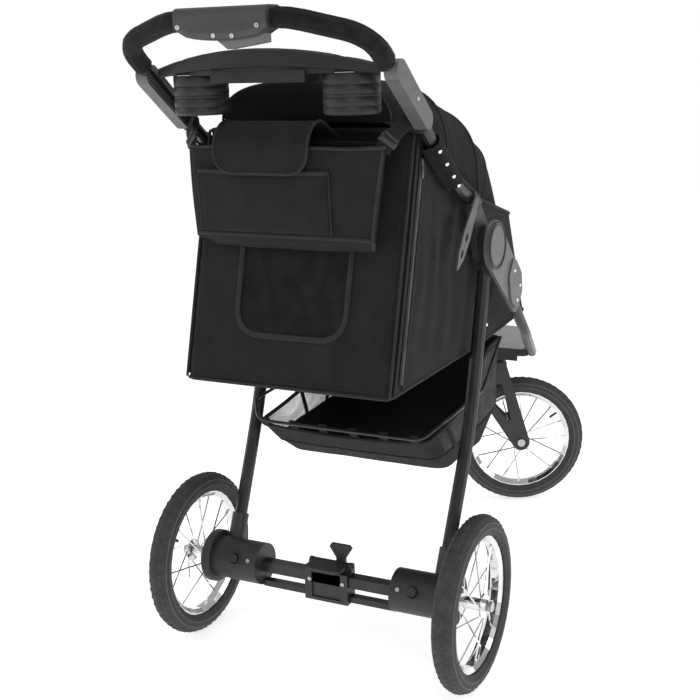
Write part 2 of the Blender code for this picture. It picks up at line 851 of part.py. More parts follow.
def hinge_side(side, letter):
    """The fixed half of the folding hinge on one side, with its front tube."""
    seat(
        tube(f"front_tube_{letter}", front_tube_path(side), FRONT_TUBE_RADIUS),
        STROLLER,
        (side * FRONT_TUBE_X, FRONT_TUBE_START_Y, FRONT_TUBE_START_Z),
        PAINT,
    )
    low, high = sorted((side * COVER_X, side * (COVER_X + HOUSING_THICKNESS)))
    cover = slab(
        f"hinge_housing_{letter}",
        wrap((*HINGE, HINGE_DISC_RADIUS), (-0.318, 0.645, 0.031), (-0.325, 0.606, 0.017)),
        low,
        high,
    )
    start, corner = (Vector(point) for point in front_tube_path(side)[:2])
    along = (corner - start).normalized()
    sleeve_end = start + along * FRONT_SLEEVE
    clamp = rod("clamp_blank", start - along * 0.004, sleeve_end, FRONT_TUBE_RADIUS + SOCKET_WALL)
    bore = rod("bore_blank", start - along * TOUCH, sleeve_end + along * 0.02, FRONT_TUBE_RADIUS + SLIP)
    cover = carve(join(cover, clamp), bore)
    seat(cover, STROLLER, (side * COVER_X, *HINGE), PLASTIC)
    cap_profile = [
        (0, CAP_THICKNESS),
        (HINGE_CAP_RADIUS - 0.002, CAP_THICKNESS),
        (HINGE_CAP_RADIUS, CAP_THICKNESS - 0.002),
        (HINGE_CAP_RADIUS, 0),
        (0, 0),
    ]
    cap = turned(f"hinge_cap_{letter}", cap_profile, 32)
    if side < 0:
        cap.data.transform(Matrix.Rotation(math.pi, 4, "Z"))
    cap.data.transform(Matrix.Translation((side * CAP_X, *HINGE)))
    seat(cap, STROLLER, (side * CAP_X, *HINGE), GREY_PLASTIC)
    low, high = sorted((side * CAP_X, side * (CAP_X + 0.003)))
    lens = slab(f"rivet_plate_{letter}", rounded(LENS_OUTLINE, 0.02), low, high)
    gap = rod(
        "gap_blank", (side * (CAP_X - 0.01), *HINGE), (side * (CAP_X + 0.02), *HINGE), 0.0435, 32
    )
    seat(carve(lens, gap), STROLLER, (side * CAP_X, *LENS_OUTLINE[0]), GREY_PLASTIC)
    pin = rod(
        f"hinge_pin_{letter}",
        (side * (CABIN_HALF_WIDTH + 0.002), *HINGE),
        (side * (COVER_X - TOUCH), *HINGE),
        PIN_RADIUS,
        20,
    )
    seat(pin, STROLLER, (side * COVER_X, *HINGE), STEEL)


def footboard():
    """The moulded board between the front tubes, with the castor socket under it."""
    outline = [(-0.137, -0.690), (0.137, -0.690), (0.132, -0.745), (0.045, -0.888), (-0.045, -0.888)]
    outline.append((-0.132, -0.745))
    bottom = FOOTBOARD_TOP - FOOTBOARD_THICKNESS
    board = slab("footboard", rounded(outline, 0.020), bottom, FOOTBOARD_TOP, LEVEL)
    ribs = [
        block("rib_blank", (x - 0.002, -0.800, bottom - 0.014), (x + 0.002, -0.700, bottom + 0.004))
        for x in (-0.090, -0.055, 0.055, 0.090)
    ]
    skirt = block("skirt_blank", (-0.110, -0.704, bottom - 0.014), (0.110, -0.700, bottom + 0.004))
    grooves = [
        tube("groove_blank", front_tube_path(side), FRONT_TUBE_RADIUS + SLIP) for side in (1, -1)
    ]
    board = carve(join(board, skirt, *ribs), *grooves)
    seat(board, STROLLER, (0, SWIVEL_Y, FOOTBOARD_TOP), PALE_PLASTIC)

    socket_bottom = CROWN_TOP + FREE
    socket_top = bottom - TOUCH
    socket = turned(
        "swivel_socket",
        [
            (0, socket_top),
            (SOCKET_RADIUS + 0.008, socket_top),
            (SOCKET_RADIUS, socket_top - 0.012),
            (SOCKET_RADIUS, socket_bottom),
            (STEM_RADIUS + RUNNING, socket_bottom),
            (STEM_RADIUS + RUNNING, STEM_TOP + FREE),
            (0, STEM_TOP + FREE),
        ],
        28,
        "Z",
    )
    socket.data.transform(Matrix.Translation((0, SWIVEL_Y, 0)))
    seat(socket, STROLLER, (0, SWIVEL_Y, CROWN_TOP), PLASTIC)


def front_fork():
    """The castor fork, its axle and the front wheel, modelled square to the fork."""
    plate_x = HUB_HALF_LENGTH + FREE
    end = (FORK_TRAIL, AXLE_Z, FORK_END_RADIUS)
    crown_z = CROWN_TOP - CROWN_HEIGHT / 2
    front_arm, rear_arm = (-0.040, crown_z - 0.030, 0.0145), (0.018, crown_z, 0.0130)
    outline = wrap(end, front_arm, (-0.024, crown_z, 0.0145), rear_arm)
    opening = [(0.050, 0.184), (0.016, 0.302), (-0.030, 0.280)]
    plates = []
    for side in (1, -1):
        low, high = sorted((side * plate_x, side * (plate_x + FORK_PLATE)))
        plate = slab("plate_blank", outline, low, high)
        window = slab("window_blank", rounded(opening, 0.010), low - 0.01, high + 0.01)
        plates.append(carve(plate, window))
    wide = plate_x + FORK_PLATE
    crown = block(
        "front_fork", (-wide, -0.036, CROWN_TOP - CROWN_HEIGHT), (wide, 0.029, CROWN_TOP)
    )
    stem = rod("stem_blank", (0, 0, CROWN_TOP - 0.01), (0, 0, STEM_TOP), STEM_RADIUS, 24)
    groove = turned("groove_blank", [(0, 0.024), (0.163, 0.024), (0.163, -0.024), (0, -0.024)], 40)
    groove.data.transform(Matrix.Translation((0, FORK_TRAIL, AXLE_Z)))
    holes = rod(
        "hole_blank",
        (-0.06, FORK_TRAIL, AXLE_Z),
        (0.06, FORK_TRAIL, AXLE_Z),
        AXLE_RADIUS + SLIP,
        20,
    )
    fork = carve(join(crown, stem, *plates), groove, holes)
    axle = turned(
        "front_axle",
        [
            (0, wide + TOUCH + NUT_LENGTH),
            (NUT_RADIUS, wide + TOUCH + NUT_LENGTH),
            (NUT_RADIUS, wide + TOUCH),
            (AXLE_RADIUS, wide + TOUCH),
            (AXLE_RADIUS, -wide - TOUCH),
            (NUT_RADIUS, -wide - TOUCH),
            (NUT_RADIUS, -wide - TOUCH - NUT_LENGTH),
            (0, -wide - TOUCH - NUT_LENGTH),
        ],
        20,
    )
    axle.data.transform(Matrix.Translation((0, FORK_TRAIL, AXLE_Z)))
    for piece, origin, material in (
        (fork, (0, 0, CROWN_TOP), PLASTIC),
        (axle, (0, FORK_TRAIL, AXLE_Z), STEEL),
    ):
        shift = Vector(origin)
        piece.data.transform(Matrix.Translation(-shift))
        piece.parent = FORK_PIVOT
        piece.location = shift - Vector((0, 0, CROWN_TOP))
        piece.data.materials.clear()
        piece.data.materials.append(material)
        piece.data.shade_smooth()
        piece.data.set_sharp_from_angle(angle=math.radians(35))
    body = pivot("front_wheel_pivot", FORK_PIVOT, (0, FORK_TRAIL, AXLE_Z - CROWN_TOP))
    for piece, material in (
        (turned("front_tyre", tyre_profile(), WHEEL_STEPS), TYRE),
        (wheel("front_wheel"), CHROME),
    ):
        piece.parent = body
        piece.data.materials.clear()
        piece.data.materials.append(material)
        piece.data.shade_smooth()
        piece.data.set_sharp_from_angle(angle=math.radians(35))


# ---------------------------------------------------------------- handle frame

HANDLE_FOOT = (-0.170, 0.8125)
HANDLE_KNEE = (-0.105, 0.8395)
HANDLE_SHOULDER = (0.212, 1.0860)
HANDLE_CORNER_X = 0.100
HANDLE_BOW_Z = 1.115
HANDLE_SOCKET = 0.024
LINK_PIN = (-0.147, 0.8150)
LINK_TIP = (-0.056, 0.7130)


def handle_path():
    """Centre line of the one bent handle tube, left foot to right foot."""
    half = [
        (HANDLE_X, *HANDLE_FOOT),
        (HANDLE_X, *HANDLE_KNEE),
        (HANDLE_X, *HANDLE_SHOULDER),
        (HANDLE_CORNER_X, HANDLE_BOW_Y, HANDLE_BOW_Z),
    ]
    corners = mirrored(half)
    return bent(corners, [0.12, 0.06, 0.10, 0.10, 0.06, 0.12], math.radians(11))


HANDLE_PATH = handle_path()
BRACKET_UPPER = (0.150, 1.0368, 0.0175)
BRACKET_LOWER = (0.055, 0.9632, 0.0155)
BRACKET_INNER_X = 0.2060
BRACKET_OUTER_X = 0.2275


def bow_height(x):
    """Y and Z of the handle tube's centre line where it crosses this X."""
    _, y, z = point_at(HANDLE_PATH, distance_where(HANDLE_PATH, 0, x))
    return y, z


def handle_frame():
    """The bent tube, foam grips, console, squeeze trigger, brackets and links."""
    seat(
        tube("handle_tube", HANDLE_PATH, HANDLE_TUBE_RADIUS),
        HANDLE_PIVOT,
        (0, HANDLE_BOW_Y, HANDLE_BOW_Z),
        PAINT,
    )
    left_end = CONSOLE_X + CONSOLE_LENGTH / 2
    right_end = CONSOLE_X - CONSOLE_LENGTH / 2
    total = path_length(HANDLE_PATH)[-1]
    bracket_top = BRACKET_UPPER[0] + BRACKET_UPPER[2] + 0.001
    foam_start = distance_where(HANDLE_PATH, 1, bracket_top)
    spans = {
        "L": (foam_start, distance_where(HANDLE_PATH, 0, left_end + TOUCH)),
        "R": (distance_where(HANDLE_PATH, 0, right_end - FOAM_GAP), total - foam_start),
    }
    for letter, (start, end) in spans.items():
        path = stretch(HANDLE_PATH, start, end)
        foam = sleeve(f"foam_grip_{letter}", path, HANDLE_TUBE_RADIUS + SLIP, FOAM_WALL)
        seat(foam, HANDLE_PIVOT, path[0], FOAM)

    rings, cells = [], 10
    for i in range(cells + 1):
        x = right_end + (left_end - right_end) * i / cells
        share = 2 * i / cells - 1
        y, z = bow_height(x)
        top, bottom = 0.0175, 0.0150 + 0.0145 * math.sqrt(max(0.0, 1 - share * share))
        depth = CONSOLE_DEPTH / 2
        outline = rounded([(-depth, -bottom), (depth, -bottom), (depth, top), (-depth, top)], 0.010, 2)
        rings.append([(x, y + across, z + up) for across, up in outline])
    console = loft("grip_console", rings)
    y, z = bow_height(CONSOLE_X)
    pocket_top = HANDLE_BOW_Z - HANDLE_TUBE_RADIUS - 0.001
    trigger_left, trigger_right = CONSOLE_X + 0.015, CONSOLE_X - 0.066
    trigger_y = (bow_height(trigger_left)[0] + bow_height(trigger_right)[0]) / 2
    half = 0.011
    trigger_top = pocket_top - TRIGGER_TRAVEL - 0.0015
    pocket = block(
        "pocket_blank",
        (trigger_right - 0.001, trigger_y - half - 0.001, HANDLE_BOW_Z - 0.05),
        (trigger_left + 0.001, trigger_y + half + 0.001, pocket_top),
    )
    bore = tube("bore_blank", HANDLE_PATH, HANDLE_TUBE_RADIUS + SLIP)
    seat(carve(console, bore, pocket), HANDLE_PIVOT, (CONSOLE_X, y, z), TRAY_PLASTIC)

    tip = HANDLE_BOW_Z - 0.0415
    outline = [
        (trigger_left, trigger_top),
        (trigger_left, trigger_top - 0.006),
        (trigger_left - 0.021, tip),
        (trigger_right, tip + 0.008),
        (trigger_right, trigger_top),
    ]
    trigger = slab("squeeze_trigger", outline, -trigger_y - half, -trigger_y + half, UPRIGHT)
    place = Vector((CONSOLE_X, trigger_y, trigger_top))
    body = pivot("trigger_slide", HANDLE_PIVOT, place - offset_of(HANDLE_PIVOT))
    seat(trigger, body, place, GREY_PLASTIC)

    for side, letter in ((1, "L"), (-1, "R")):
        low, high = sorted((side * BRACKET_INNER_X, side * BRACKET_OUTER_X))
        bracket = slab(f"tray_bracket_{letter}", wrap(BRACKET_UPPER, BRACKET_LOWER), low, high)
        bore = tube("bore_blank", HANDLE_PATH, HANDLE_TUBE_RADIUS + SLIP)
        seat(
            carve(bracket, bore),
            HANDLE_PIVOT,
            (side * BRACKET_INNER_X, *BRACKET_UPPER[:2]),
            GREY_PLASTIC,
        )
        foot, above = (Vector((side * abs(x), y, z)) for x, y, z in HANDLE_PATH[:2])
        along = (above - foot).normalized()
        radius = HANDLE_TUBE_RADIUS + SOCKET_WALL
        arm = hinge_eye(f"handle_arm_{letter}", side, ARM_INNER_X, foot, radius)
        socket = rod("socket_blank", foot - along * 0.010, foot + along * HANDLE_SOCKET, radius)
        bore = rod("bore_blank", foot - along * TOUCH, foot + along * 0.08, HANDLE_TUBE_RADIUS + SLIP)
        seat(carve(join(arm, socket), bore), HANDLE_PIVOT, (side * ARM_INNER_X, *HINGE), PLASTIC)
        link_x = HANDLE_X + HANDLE_TUBE_RADIUS + SOCKET_WALL + TOUCH
        low, high = sorted((side * link_x, side * (link_x + 0.003)))
        start, end = Vector(LINK_PIN), Vector(LINK_TIP)
        broad, low_end = start.lerp(end, 0.50), start.lerp(end, 0.78)
        bar = slab(
            f"fold_link_{letter}",
            wrap((*start, 0.0085), (*broad, 0.0150), (*low_end, 0.0125), (*end, 0.0012)),
            low,
            high,
        )
        slots = []
        for share in (0.50, 0.74):
            a, b = start.lerp(end, share), start.lerp(end, share + 0.06)
            slots.append(
                slab("slot_blank", wrap((*a, 0.0042), (*b, 0.0042), sides=12), low - 0.01, high + 0.01)
            )
        seat(carve(bar, *slots), HANDLE_PIVOT, (side * link_x, *start), STEEL)


def band_line(x):
    """Rear face, top and bottom of the tray's curved band at this X."""
    share = 1 - (x / TRAY_HALF_WIDTH) ** 2
    return 0.155 + 0.025 * share, 1.0480 + 0.0265 * share, 1.0330 + 0.0130 * share


def tray():
    """The tray between the handle tubes: curved band, deck, bin and two cup holders."""
    rings, cells, thick, lip = [], 12, 0.009, 0.005
    deck_low, deck_high = TRAY_DECK_Z, TRAY_DECK_Z + TRAY_DECK_THICKNESS
    for i in range(cells + 1):
        x = -TRAY_HALF_WIDTH + 2 * TRAY_HALF_WIDTH * i / cells
        rear, top, bottom = band_line(x)
        outline = [(rear - thick, deck_low), (rear - lip, deck_low), (rear - lip, bottom)]
        outline += [(rear, bottom + 0.002), (rear, top - 0.003), (rear - 0.003, top)]
        outline.append((rear - thick, top))
        rings.append([(x, y, z) for y, z in outline])
    band = loft("cup_tray", rings)
    edge = [(TRAY_HALF_WIDTH - 2 * TRAY_HALF_WIDTH * i / cells) for i in range(cells + 1)]
    edge = [(x, band_line(x)[0] - lip - 0.001) for x in edge]
    edge += [(-TRAY_HALF_WIDTH, TRAY_FRONT_Y), (TRAY_HALF_WIDTH, TRAY_FRONT_Y)]
    deck = slab("deck_blank", edge, deck_low, deck_high, LEVEL)
    bin_front = TRAY_FRONT_Y + 0.006
    bin_shell = block(
        "bin_blank",
        (-BIN_HALF_WIDTH, bin_front, BIN_BOTTOM_Z),
        (BIN_HALF_WIDTH, BIN_REAR_Y, deck_high - TOUCH),
    )
    bin_room = block(
        "room_blank",
        (-BIN_HALF_WIDTH + BIN_WALL, bin_front + BIN_WALL, BIN_BOTTOM_Z + BIN_WALL),
        (BIN_HALF_WIDTH - BIN_WALL, band_line(BIN_HALF_WIDTH)[0] - thick - 0.001, deck_high + 0.05),
    )
    cup_holes = [
        rod(
            "cup_blank",
            (side * CUP_X, CUP_Y, deck_low - 0.01),
            (side * CUP_X, CUP_Y, deck_high + 0.05),
            CUP_RADIUS - CUP_WALL,
            28,
        )
        for side in (1, -1)
    ]
    whole = carve(join(band, deck, bin_shell), bin_room, *cup_holes)
    seat(whole, HANDLE_PIVOT, (0, TRAY_FRONT_Y, TRAY_DECK_Z), TRAY_PLASTIC)

    top = TRAY_DECK_Z - TOUCH
    for side, letter in ((1, "L"), (-1, "R")):
        cup = turned(
            f"cup_holder_{letter}",
            [
                (0, CUP_BOTTOM_Z + CUP_WALL),
                (CUP_RADIUS - CUP_WALL - 0.003, CUP_BOTTOM_Z + CUP_WALL),
                (CUP_RADIUS - CUP_WALL, CUP_BOTTOM_Z + CUP_WALL + 0.003),
                (CUP_RADIUS - CUP_WALL, top),
                (CUP_RADIUS, top),
                (CUP_RADIUS, CUP_BOTTOM_Z + 0.005),
                (CUP_RADIUS - 0.005, CUP_BOTTOM_Z),
                (0, CUP_BOTTOM_Z),
            ],
            28,
            "Z",
        )
        cup.data.transform(Matrix.Translation((side * CUP_X, CUP_Y, 0)))
        bin_clear = block(
            "clear_blank",
            (-BIN_HALF_WIDTH - SLIP, 0, BIN_BOTTOM_Z - SLIP),
            (BIN_HALF_WIDTH + SLIP, 0.2, TRAY_DECK_Z + 0.01),
        )
        seat(carve(cup, bin_clear), HANDLE_PIVOT, (side * CUP_X, CUP_Y, CUP_BOTTOM_Z), TRAY_PLASTIC)


# ---------------------------------------------------------------- fabric body


def rear_panel_y(z):
    """Outer face of the leaning rear panel at this height."""
    return CABIN_REAR_Y - REAR_PANEL_LEAN * (z - CABIN_FLOOR_Z)


def nose_wedges(half, nose_half):
    """Cutters that narrow a tub evenly from its taper line to its front."""
    front = CABIN_FRONT_Y
    wedges = []
    for side in (1, -1):
        outline = [
            (side * half, CABIN_TAPER_Y),
            (side * (half + 0.05), CABIN_TAPER_Y),
            (side * (half + 0.05), front - 0.02),
            (side * (nose_half + (half - nose_half) * 0.02 / (front - CABIN_TAPER_Y)), front - 0.02),
        ]
        wedges.append(slab("wedge_blank", outline, CABIN_FLOOR_Z - 0.05, 1.2, LEVEL))
    return wedges


def cabin():
    """The open-topped fabric tub, narrower at its front, with its base board inside."""
    outline = [
        (CABIN_FRONT_Y, CABIN_FLOOR_Z),
        (CABIN_REAR_Y, CABIN_FLOOR_Z),
        (rear_panel_y(REAR_PANEL_TOP_Z), REAR_PANEL_TOP_Z),
        (-0.250, 0.805),
        CABIN_FRONT_TOP,
    ]
    half, nose = CABIN_HALF_WIDTH, CABIN_NOSE_HALF_WIDTH
    shell = carve(slab("cabin_shell", outline, -half, half), *nose_wedges(half, nose))
    front, rear, rear_top, _, front_top = inset(outline, CABIN_WALL)
    lift = 0.3
    hollow = [
        front,
        rear,
        rear_top,
        (rear_top[0] - REAR_PANEL_LEAN * lift, rear_top[1] + lift),
        (front_top[0], front_top[1] + lift),
        front_top,
    ]
    half, nose = half - CABIN_WALL, nose - CABIN_WALL
    room = carve(slab("room_blank", hollow, -half, half), *nose_wedges(half, nose))
    seat(carve(shell, room), STROLLER, (0, 0, CABIN_FLOOR_Z), FABRIC)

    low = CABIN_FLOOR_Z + CABIN_WALL + TOUCH
    margin = 0.008
    board = slab(
        "base_board",
        [
            (half - margin, CABIN_REAR_Y - 0.020),
            (-half + margin, CABIN_REAR_Y - 0.020),
            (-half + margin, CABIN_TAPER_Y),
            (-nose + margin, CABIN_FRONT_Y + 0.030),
            (nose - margin, CABIN_FRONT_Y + 0.030),
            (half - margin, CABIN_TAPER_Y),
        ],
        low,
        low + BOARD_THICKNESS,
        LEVEL,
    )
    seat(board, STROLLER, (0, 0, low), BOARD)


def arch(half_width, bottom, top, y, count=14, power=3.2):
    """An arched cross-section at this Y, from one side edge over the crown to the other."""
    row = []
    for i in range(count + 1):
        angle = math.pi * i / count
        across, up = math.cos(angle), math.sin(angle)
        x = math.copysign(abs(across) ** (2 / power), across) * half_width
        row.append((x, y, bottom + (top - bottom) * abs(up) ** (2 / power)))
    return row


HOOD_LINE = [
    (0.040, 0.957, 1.020),
    (-0.020, 0.930, 1.025),
    (-0.085, 0.895, 1.021),
    (-0.174, 0.850, 1.003),
    (-0.262, 0.809, 0.970),
]


def hood():
    """The fixed rear part of the canopy, a barrel over the back of the cabin."""
    rows = [arch(HOOD_HALF_WIDTH, low, top, y) for y, low, top in HOOD_LINE]
    skin = sheet("canopy_hood", rows)
    bm = bmesh.new()
    bm.from_mesh(skin.data)
    bm.verts.ensure_lookup_table()
    bm.faces.new([bm.verts[i] for i in range(len(rows[0]))])
    bmesh.ops.recalc_face_normals(bm, faces=bm.faces)
    outward = next(face for face in bm.faces if face.calc_center_median().z > 0.99)
    if outward.normal.z < 0:
        bmesh.ops.reverse_faces(bm, faces=bm.faces)
    bm.to_mesh(skin.data)
    bm.free()
    seat(thicken(skin, HOOD_WALL), STROLLER, (0, HOOD_LINE[0][0], HOOD_LINE[0][1]), FABRIC)


def canopy_half_width(angle):
    """Half width of the canopy front at this angle about its pivot, inside the tub's walls."""
    reach = CANOPY_PIVOT[0] + CANOPY_RADIUS * math.cos(angle)
    share = max(0.0, (CABIN_TAPER_Y - reach) / (CABIN_TAPER_Y - CABIN_FRONT_Y))
    tub = CABIN_HALF_WIDTH + (CABIN_NOSE_HALF_WIDTH - CABIN_HALF_WIDTH) * share
    return min(tub - CABIN_WALL, HOOD_HALF_WIDTH - HOOD_WALL) - CANOPY_SIDE_GAP


def canopy():
    """The front part of the canopy, a dome on bow arms that turns back under the hood."""
    rows, cells = [], 5
    low = CANOPY_SHOULDER * CANOPY_RADIUS
    for i in range(cells + 1):
        angle = CANOPY_REAR_ANGLE + (CANOPY_FRONT_ANGLE - CANOPY_REAR_ANGLE) * i / cells
        out = (math.cos(angle), math.sin(angle))
        row = []
        for x, _, reach in arch(canopy_half_width(angle), low, CANOPY_RADIUS, 0.0):
            row.append((x, CANOPY_PIVOT[0] + out[0] * reach, CANOPY_PIVOT[1] + out[1] * reach))
        rows.append(row)
    skin = sheet("canopy_front", rows)
    top_face = skin.data.polygons[len(rows[0]) // 2]
    if top_face.normal.z < 0:
        skin.data.flip_normals()
    shell = thicken(skin, HOOD_WALL)
    foot_x = canopy_half_width(CANOPY_FRONT_ANGLE) - HOOD_WALL / 2
    outer_x = canopy_half_width(CANOPY_REAR_ANGLE)
    arms = []
    for side in (1, -1):
        for angle in (CANOPY_FRONT_ANGLE - 0.05, CANOPY_REAR_ANGLE + 0.05):
            reach = low + 0.02
            top = (
                side * (canopy_half_width(angle) - HOOD_WALL / 2),
                CANOPY_PIVOT[0] + reach * math.cos(angle),
                CANOPY_PIVOT[1] + reach * math.sin(angle),
            )
            foot = (side * foot_x, *CANOPY_PIVOT)
            arms.append(rod("arm_blank", foot, top, CANOPY_BOW_RADIUS, 10))
        boss = ((side * x, *CANOPY_PIVOT) for x in (foot_x - 0.005, outer_x + 0.001))
        arms.append(rod("boss_blank", *boss, 0.009))
    seat(join(shell, *arms), CANOPY_BODY, (0, *CANOPY_PIVOT), FABRIC)


# ---------------------------------------------------------------- bag and basket


def organiser_bag():
    """The open bag on the rear panel, with its slip pocket and flap."""
    inner_gap = 0.0015
    top_inner = rear_panel_y(BAG_TOP_Z) + inner_gap
    low_inner = rear_panel_y(BAG_BOTTOM_Z - 0.008) + inner_gap
    outline = [
        (low_inner, BAG_BOTTOM_Z - 0.008),
        (low_inner + 0.022, BAG_BOTTOM_Z - 0.030),
        (BAG_REAR_Y - 0.004, BAG_BOTTOM_Z),
        (BAG_REAR_Y, BAG_TOP_Z),
        (top_inner, BAG_TOP_Z),
    ]
    bag = slab("organiser_bag", outline, -BAG_HALF_WIDTH, BAG_HALF_WIDTH)
    room = inset(outline, BAG_WALL)
    lift = 0.03
    hollow = [*room[:3], (room[3][0], room[3][1] + lift), (room[4][0], room[4][1] + lift)]
    inner = slab("room_blank", hollow, -BAG_HALF_WIDTH + BAG_WALL, BAG_HALF_WIDTH - BAG_WALL)
    seat(carve(bag, inner), STROLLER, (0, BAG_REAR_Y, BAG_BOTTOM_Z), FABRIC)

    lean = 0.004 / (BAG_TOP_Z - BAG_BOTTOM_Z)

    def face_y(z):
        return BAG_REAR_Y - lean * (BAG_TOP_Z - z) + TOUCH

    low, high = 0.788, 0.886
    side_view = [
        (face_y(low), low),
        (face_y(low) + POCKET_THICKNESS, low),
        (face_y(high) + POCKET_THICKNESS, high),
        (face_y(high), high),
    ]
    pocket = slab("slip_pocket", side_view, -0.091, 0.147)
    seat(pocket, STROLLER, (0, face_y(high), high), FABRIC)

    hem = 0.890
    rise = BAG_TOP_Z + 0.026
    side_view = [
        (face_y(hem), hem),
        (face_y(hem) + FLAP_THICKNESS, hem),
        (face_y(BAG_TOP_Z) + FLAP_THICKNESS, BAG_TOP_Z + 0.002),
        (rear_panel_y(BAG_TOP_Z) + 0.012, rise + FLAP_THICKNESS),
        (rear_panel_y(BAG_TOP_Z) + 0.005, rise + FLAP_THICKNESS),
        (rear_panel_y(BAG_TOP_Z) + 0.005, rise),
        (face_y(BAG_TOP_Z), BAG_TOP_Z + TOUCH),
    ]
    flap = slab("bag_flap", side_view, -0.058, 0.111)
    seat(flap, STROLLER, (0, rear_panel_y(BAG_TOP_Z), rise), FABRIC)


def basket():
    """The sagging basket under the cabin and the wire that holds its rim."""
    rear = BASKET_REAR_Y
    outline = [
        (BASKET_FRONT_Y, BASKET_FLOOR_Z + 0.060),
        (BASKET_FRONT_Y + 0.075, BASKET_FLOOR_Z),
        (rear - 0.100, BASKET_FLOOR_Z),
        (rear - 0.004, 0.402),
        (rear - 0.180, 0.431),
        (-0.345, 0.509),
        (BASKET_FRONT_Y, 0.514),
    ]
    half = BASKET_HALF_WIDTH
    shell = slab("basket", outline, -half, half)
    wall = BASKET_WALL
    hollow = [
        (BASKET_FRONT_Y + wall, BASKET_FLOOR_Z + 0.060 + wall / 2),
        (BASKET_FRONT_Y + 0.075 + wall / 2, BASKET_FLOOR_Z + wall),
        (rear - 0.100 - wall / 2, BASKET_FLOOR_Z + wall),
        (rear - 0.004 - wall, 0.402 - wall / 2),
        (rear - 0.004 - wall, 0.60),
        (BASKET_FRONT_Y + wall, 0.60),
    ]
    inner = slab("room_blank", hollow, -half + wall, half - wall)
    seat(carve(shell, inner), STROLLER, (0, rear, BASKET_FLOOR_Z), FABRIC)

    wire_rear = rear + 0.006
    corner = BASKET_WIRE_X
    corners = [
        (corner, -0.368, CABIN_FLOOR_Z - 0.004 - BASKET_WIRE_RADIUS),
        (corner, -0.270, 0.447),
        (corner, -0.085, 0.440),
        (corner - 0.028, wire_rear, 0.414),
    ]
    path = bent(mirrored(corners), [WIRE_BEND] * 6)
    wire = tube("basket_wire", path, BASKET_WIRE_RADIUS, 2)
    seat(wire, STROLLER, (0, wire_rear, 0.414), PAINT)


# ---------------------------------------------------------------- the stroller

for side, letter in ((1, "L"), (-1, "R")):
    rear_frame(side, letter)
    hinge_side(side, letter)
rear_cross_parts()
footboard()
front_fork()
handle_frame()
tray()
cabin()
hood()
canopy()
organiser_bag()
basket()
bpy.context.view_layer.update()
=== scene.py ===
"""The looks of a folding three-wheeled pet stroller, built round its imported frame."""

import math

import bmesh
import bpy
from mathutils import Matrix, Vector, noise


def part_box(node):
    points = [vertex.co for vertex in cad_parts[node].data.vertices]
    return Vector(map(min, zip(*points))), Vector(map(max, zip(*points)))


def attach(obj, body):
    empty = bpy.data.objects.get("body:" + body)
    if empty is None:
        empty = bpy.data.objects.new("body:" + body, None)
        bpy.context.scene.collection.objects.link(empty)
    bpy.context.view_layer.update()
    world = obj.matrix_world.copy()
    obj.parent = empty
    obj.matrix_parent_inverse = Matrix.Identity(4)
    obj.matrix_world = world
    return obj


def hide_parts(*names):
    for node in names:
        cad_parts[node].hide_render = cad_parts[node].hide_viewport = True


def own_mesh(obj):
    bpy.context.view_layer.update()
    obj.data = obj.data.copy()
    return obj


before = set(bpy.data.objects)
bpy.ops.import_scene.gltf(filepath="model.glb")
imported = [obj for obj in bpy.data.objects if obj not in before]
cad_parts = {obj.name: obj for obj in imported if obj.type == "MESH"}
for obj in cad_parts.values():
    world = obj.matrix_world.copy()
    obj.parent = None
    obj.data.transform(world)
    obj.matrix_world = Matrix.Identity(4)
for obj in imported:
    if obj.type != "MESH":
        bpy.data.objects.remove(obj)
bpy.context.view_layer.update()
scene = bpy.context.scene

# Places below are measured from the middle of the rear axle line: x to the
# stroller's left, y backwards, z up from the ground. All sizes are in metres.
AXLE_Y = sum(corner.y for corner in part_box("rear_L_tyre")) / 2

PIPING = 0.0022
CLOTH_WALL = 0.0022
STITCH_PITCH = 0.0042
WEAVE_PITCH = 0.0011
NET_PITCH = 0.0058

CABIN_HALF = 0.1895
NOSE_HALF = 0.1675
CABIN_FLOOR = 0.535
PANEL_LEAN = 0.276
PANEL_TOP = 0.945
WINDOW = dict(half=0.101, low=0.618, high=0.800, corner=0.048)
SIDE_NET = dict(rear=-0.030, front=-0.165, low=0.690, high=0.845, corner=0.020)
ZIP_SETBACK = 0.034
HOOD_HALF = 0.187
CANOPY_PIVOT = (-0.156, 0.588)
BAG_HALF = 0.168
BAG_TOP = 0.925
BAG_LOW = 0.785
BAG_FACE = 0.124
BASKET_HALF = 0.171
TREAD_ROWS = 56
SPOKES = 16
PAD_FRAMES = 20


# ---------------------------------------------------------------- finishes


def new_finish(name, colour, rough, metal=0.0, **settings):
    """A Principled finish with these uniform values, and a short way to add nodes to it."""
    finish = bpy.data.materials.new(name)
    finish.use_nodes = True
    tree = finish.node_tree
    shader = tree.nodes["Principled BSDF"]
    shader.inputs["Base Color"].default_value = (*colour, 1)
    shader.inputs["Roughness"].default_value = rough
    shader.inputs["Metallic"].default_value = metal
    for socket, value in settings.items():
        shader.inputs[socket.replace("_", " ")].default_value = value

    def node(kind, inputs=(), **properties):
        made = tree.nodes.new(kind)
        for key, value in properties.items():
            setattr(made, key, value)
        for key, value in dict(inputs).items():
            if isinstance(value, bpy.types.NodeSocket):
                tree.links.new(value, made.inputs[key])
            else:
                made.inputs[key].default_value = value
        return made

    return finish, shader, node


def sums(node, operation, a, b=0.0):
    """One sum worked out by a Math node."""
    return node("ShaderNodeMath", {0: a, 1: b}, operation=operation).outputs[0]


def times(node, a, b):
    return sums(node, "MULTIPLY", a, b)


def plus(node, a, b):
    return sums(node, "ADD", a, b)


def place(node, source="Object", **mapping):
    """Coordinates for a pattern, moved, turned or stretched by a Mapping node."""
    told = node("ShaderNodeTexCoord").outputs[source]
    return node("ShaderNodeMapping", {"Vector": told, **mapping}).outputs[0]


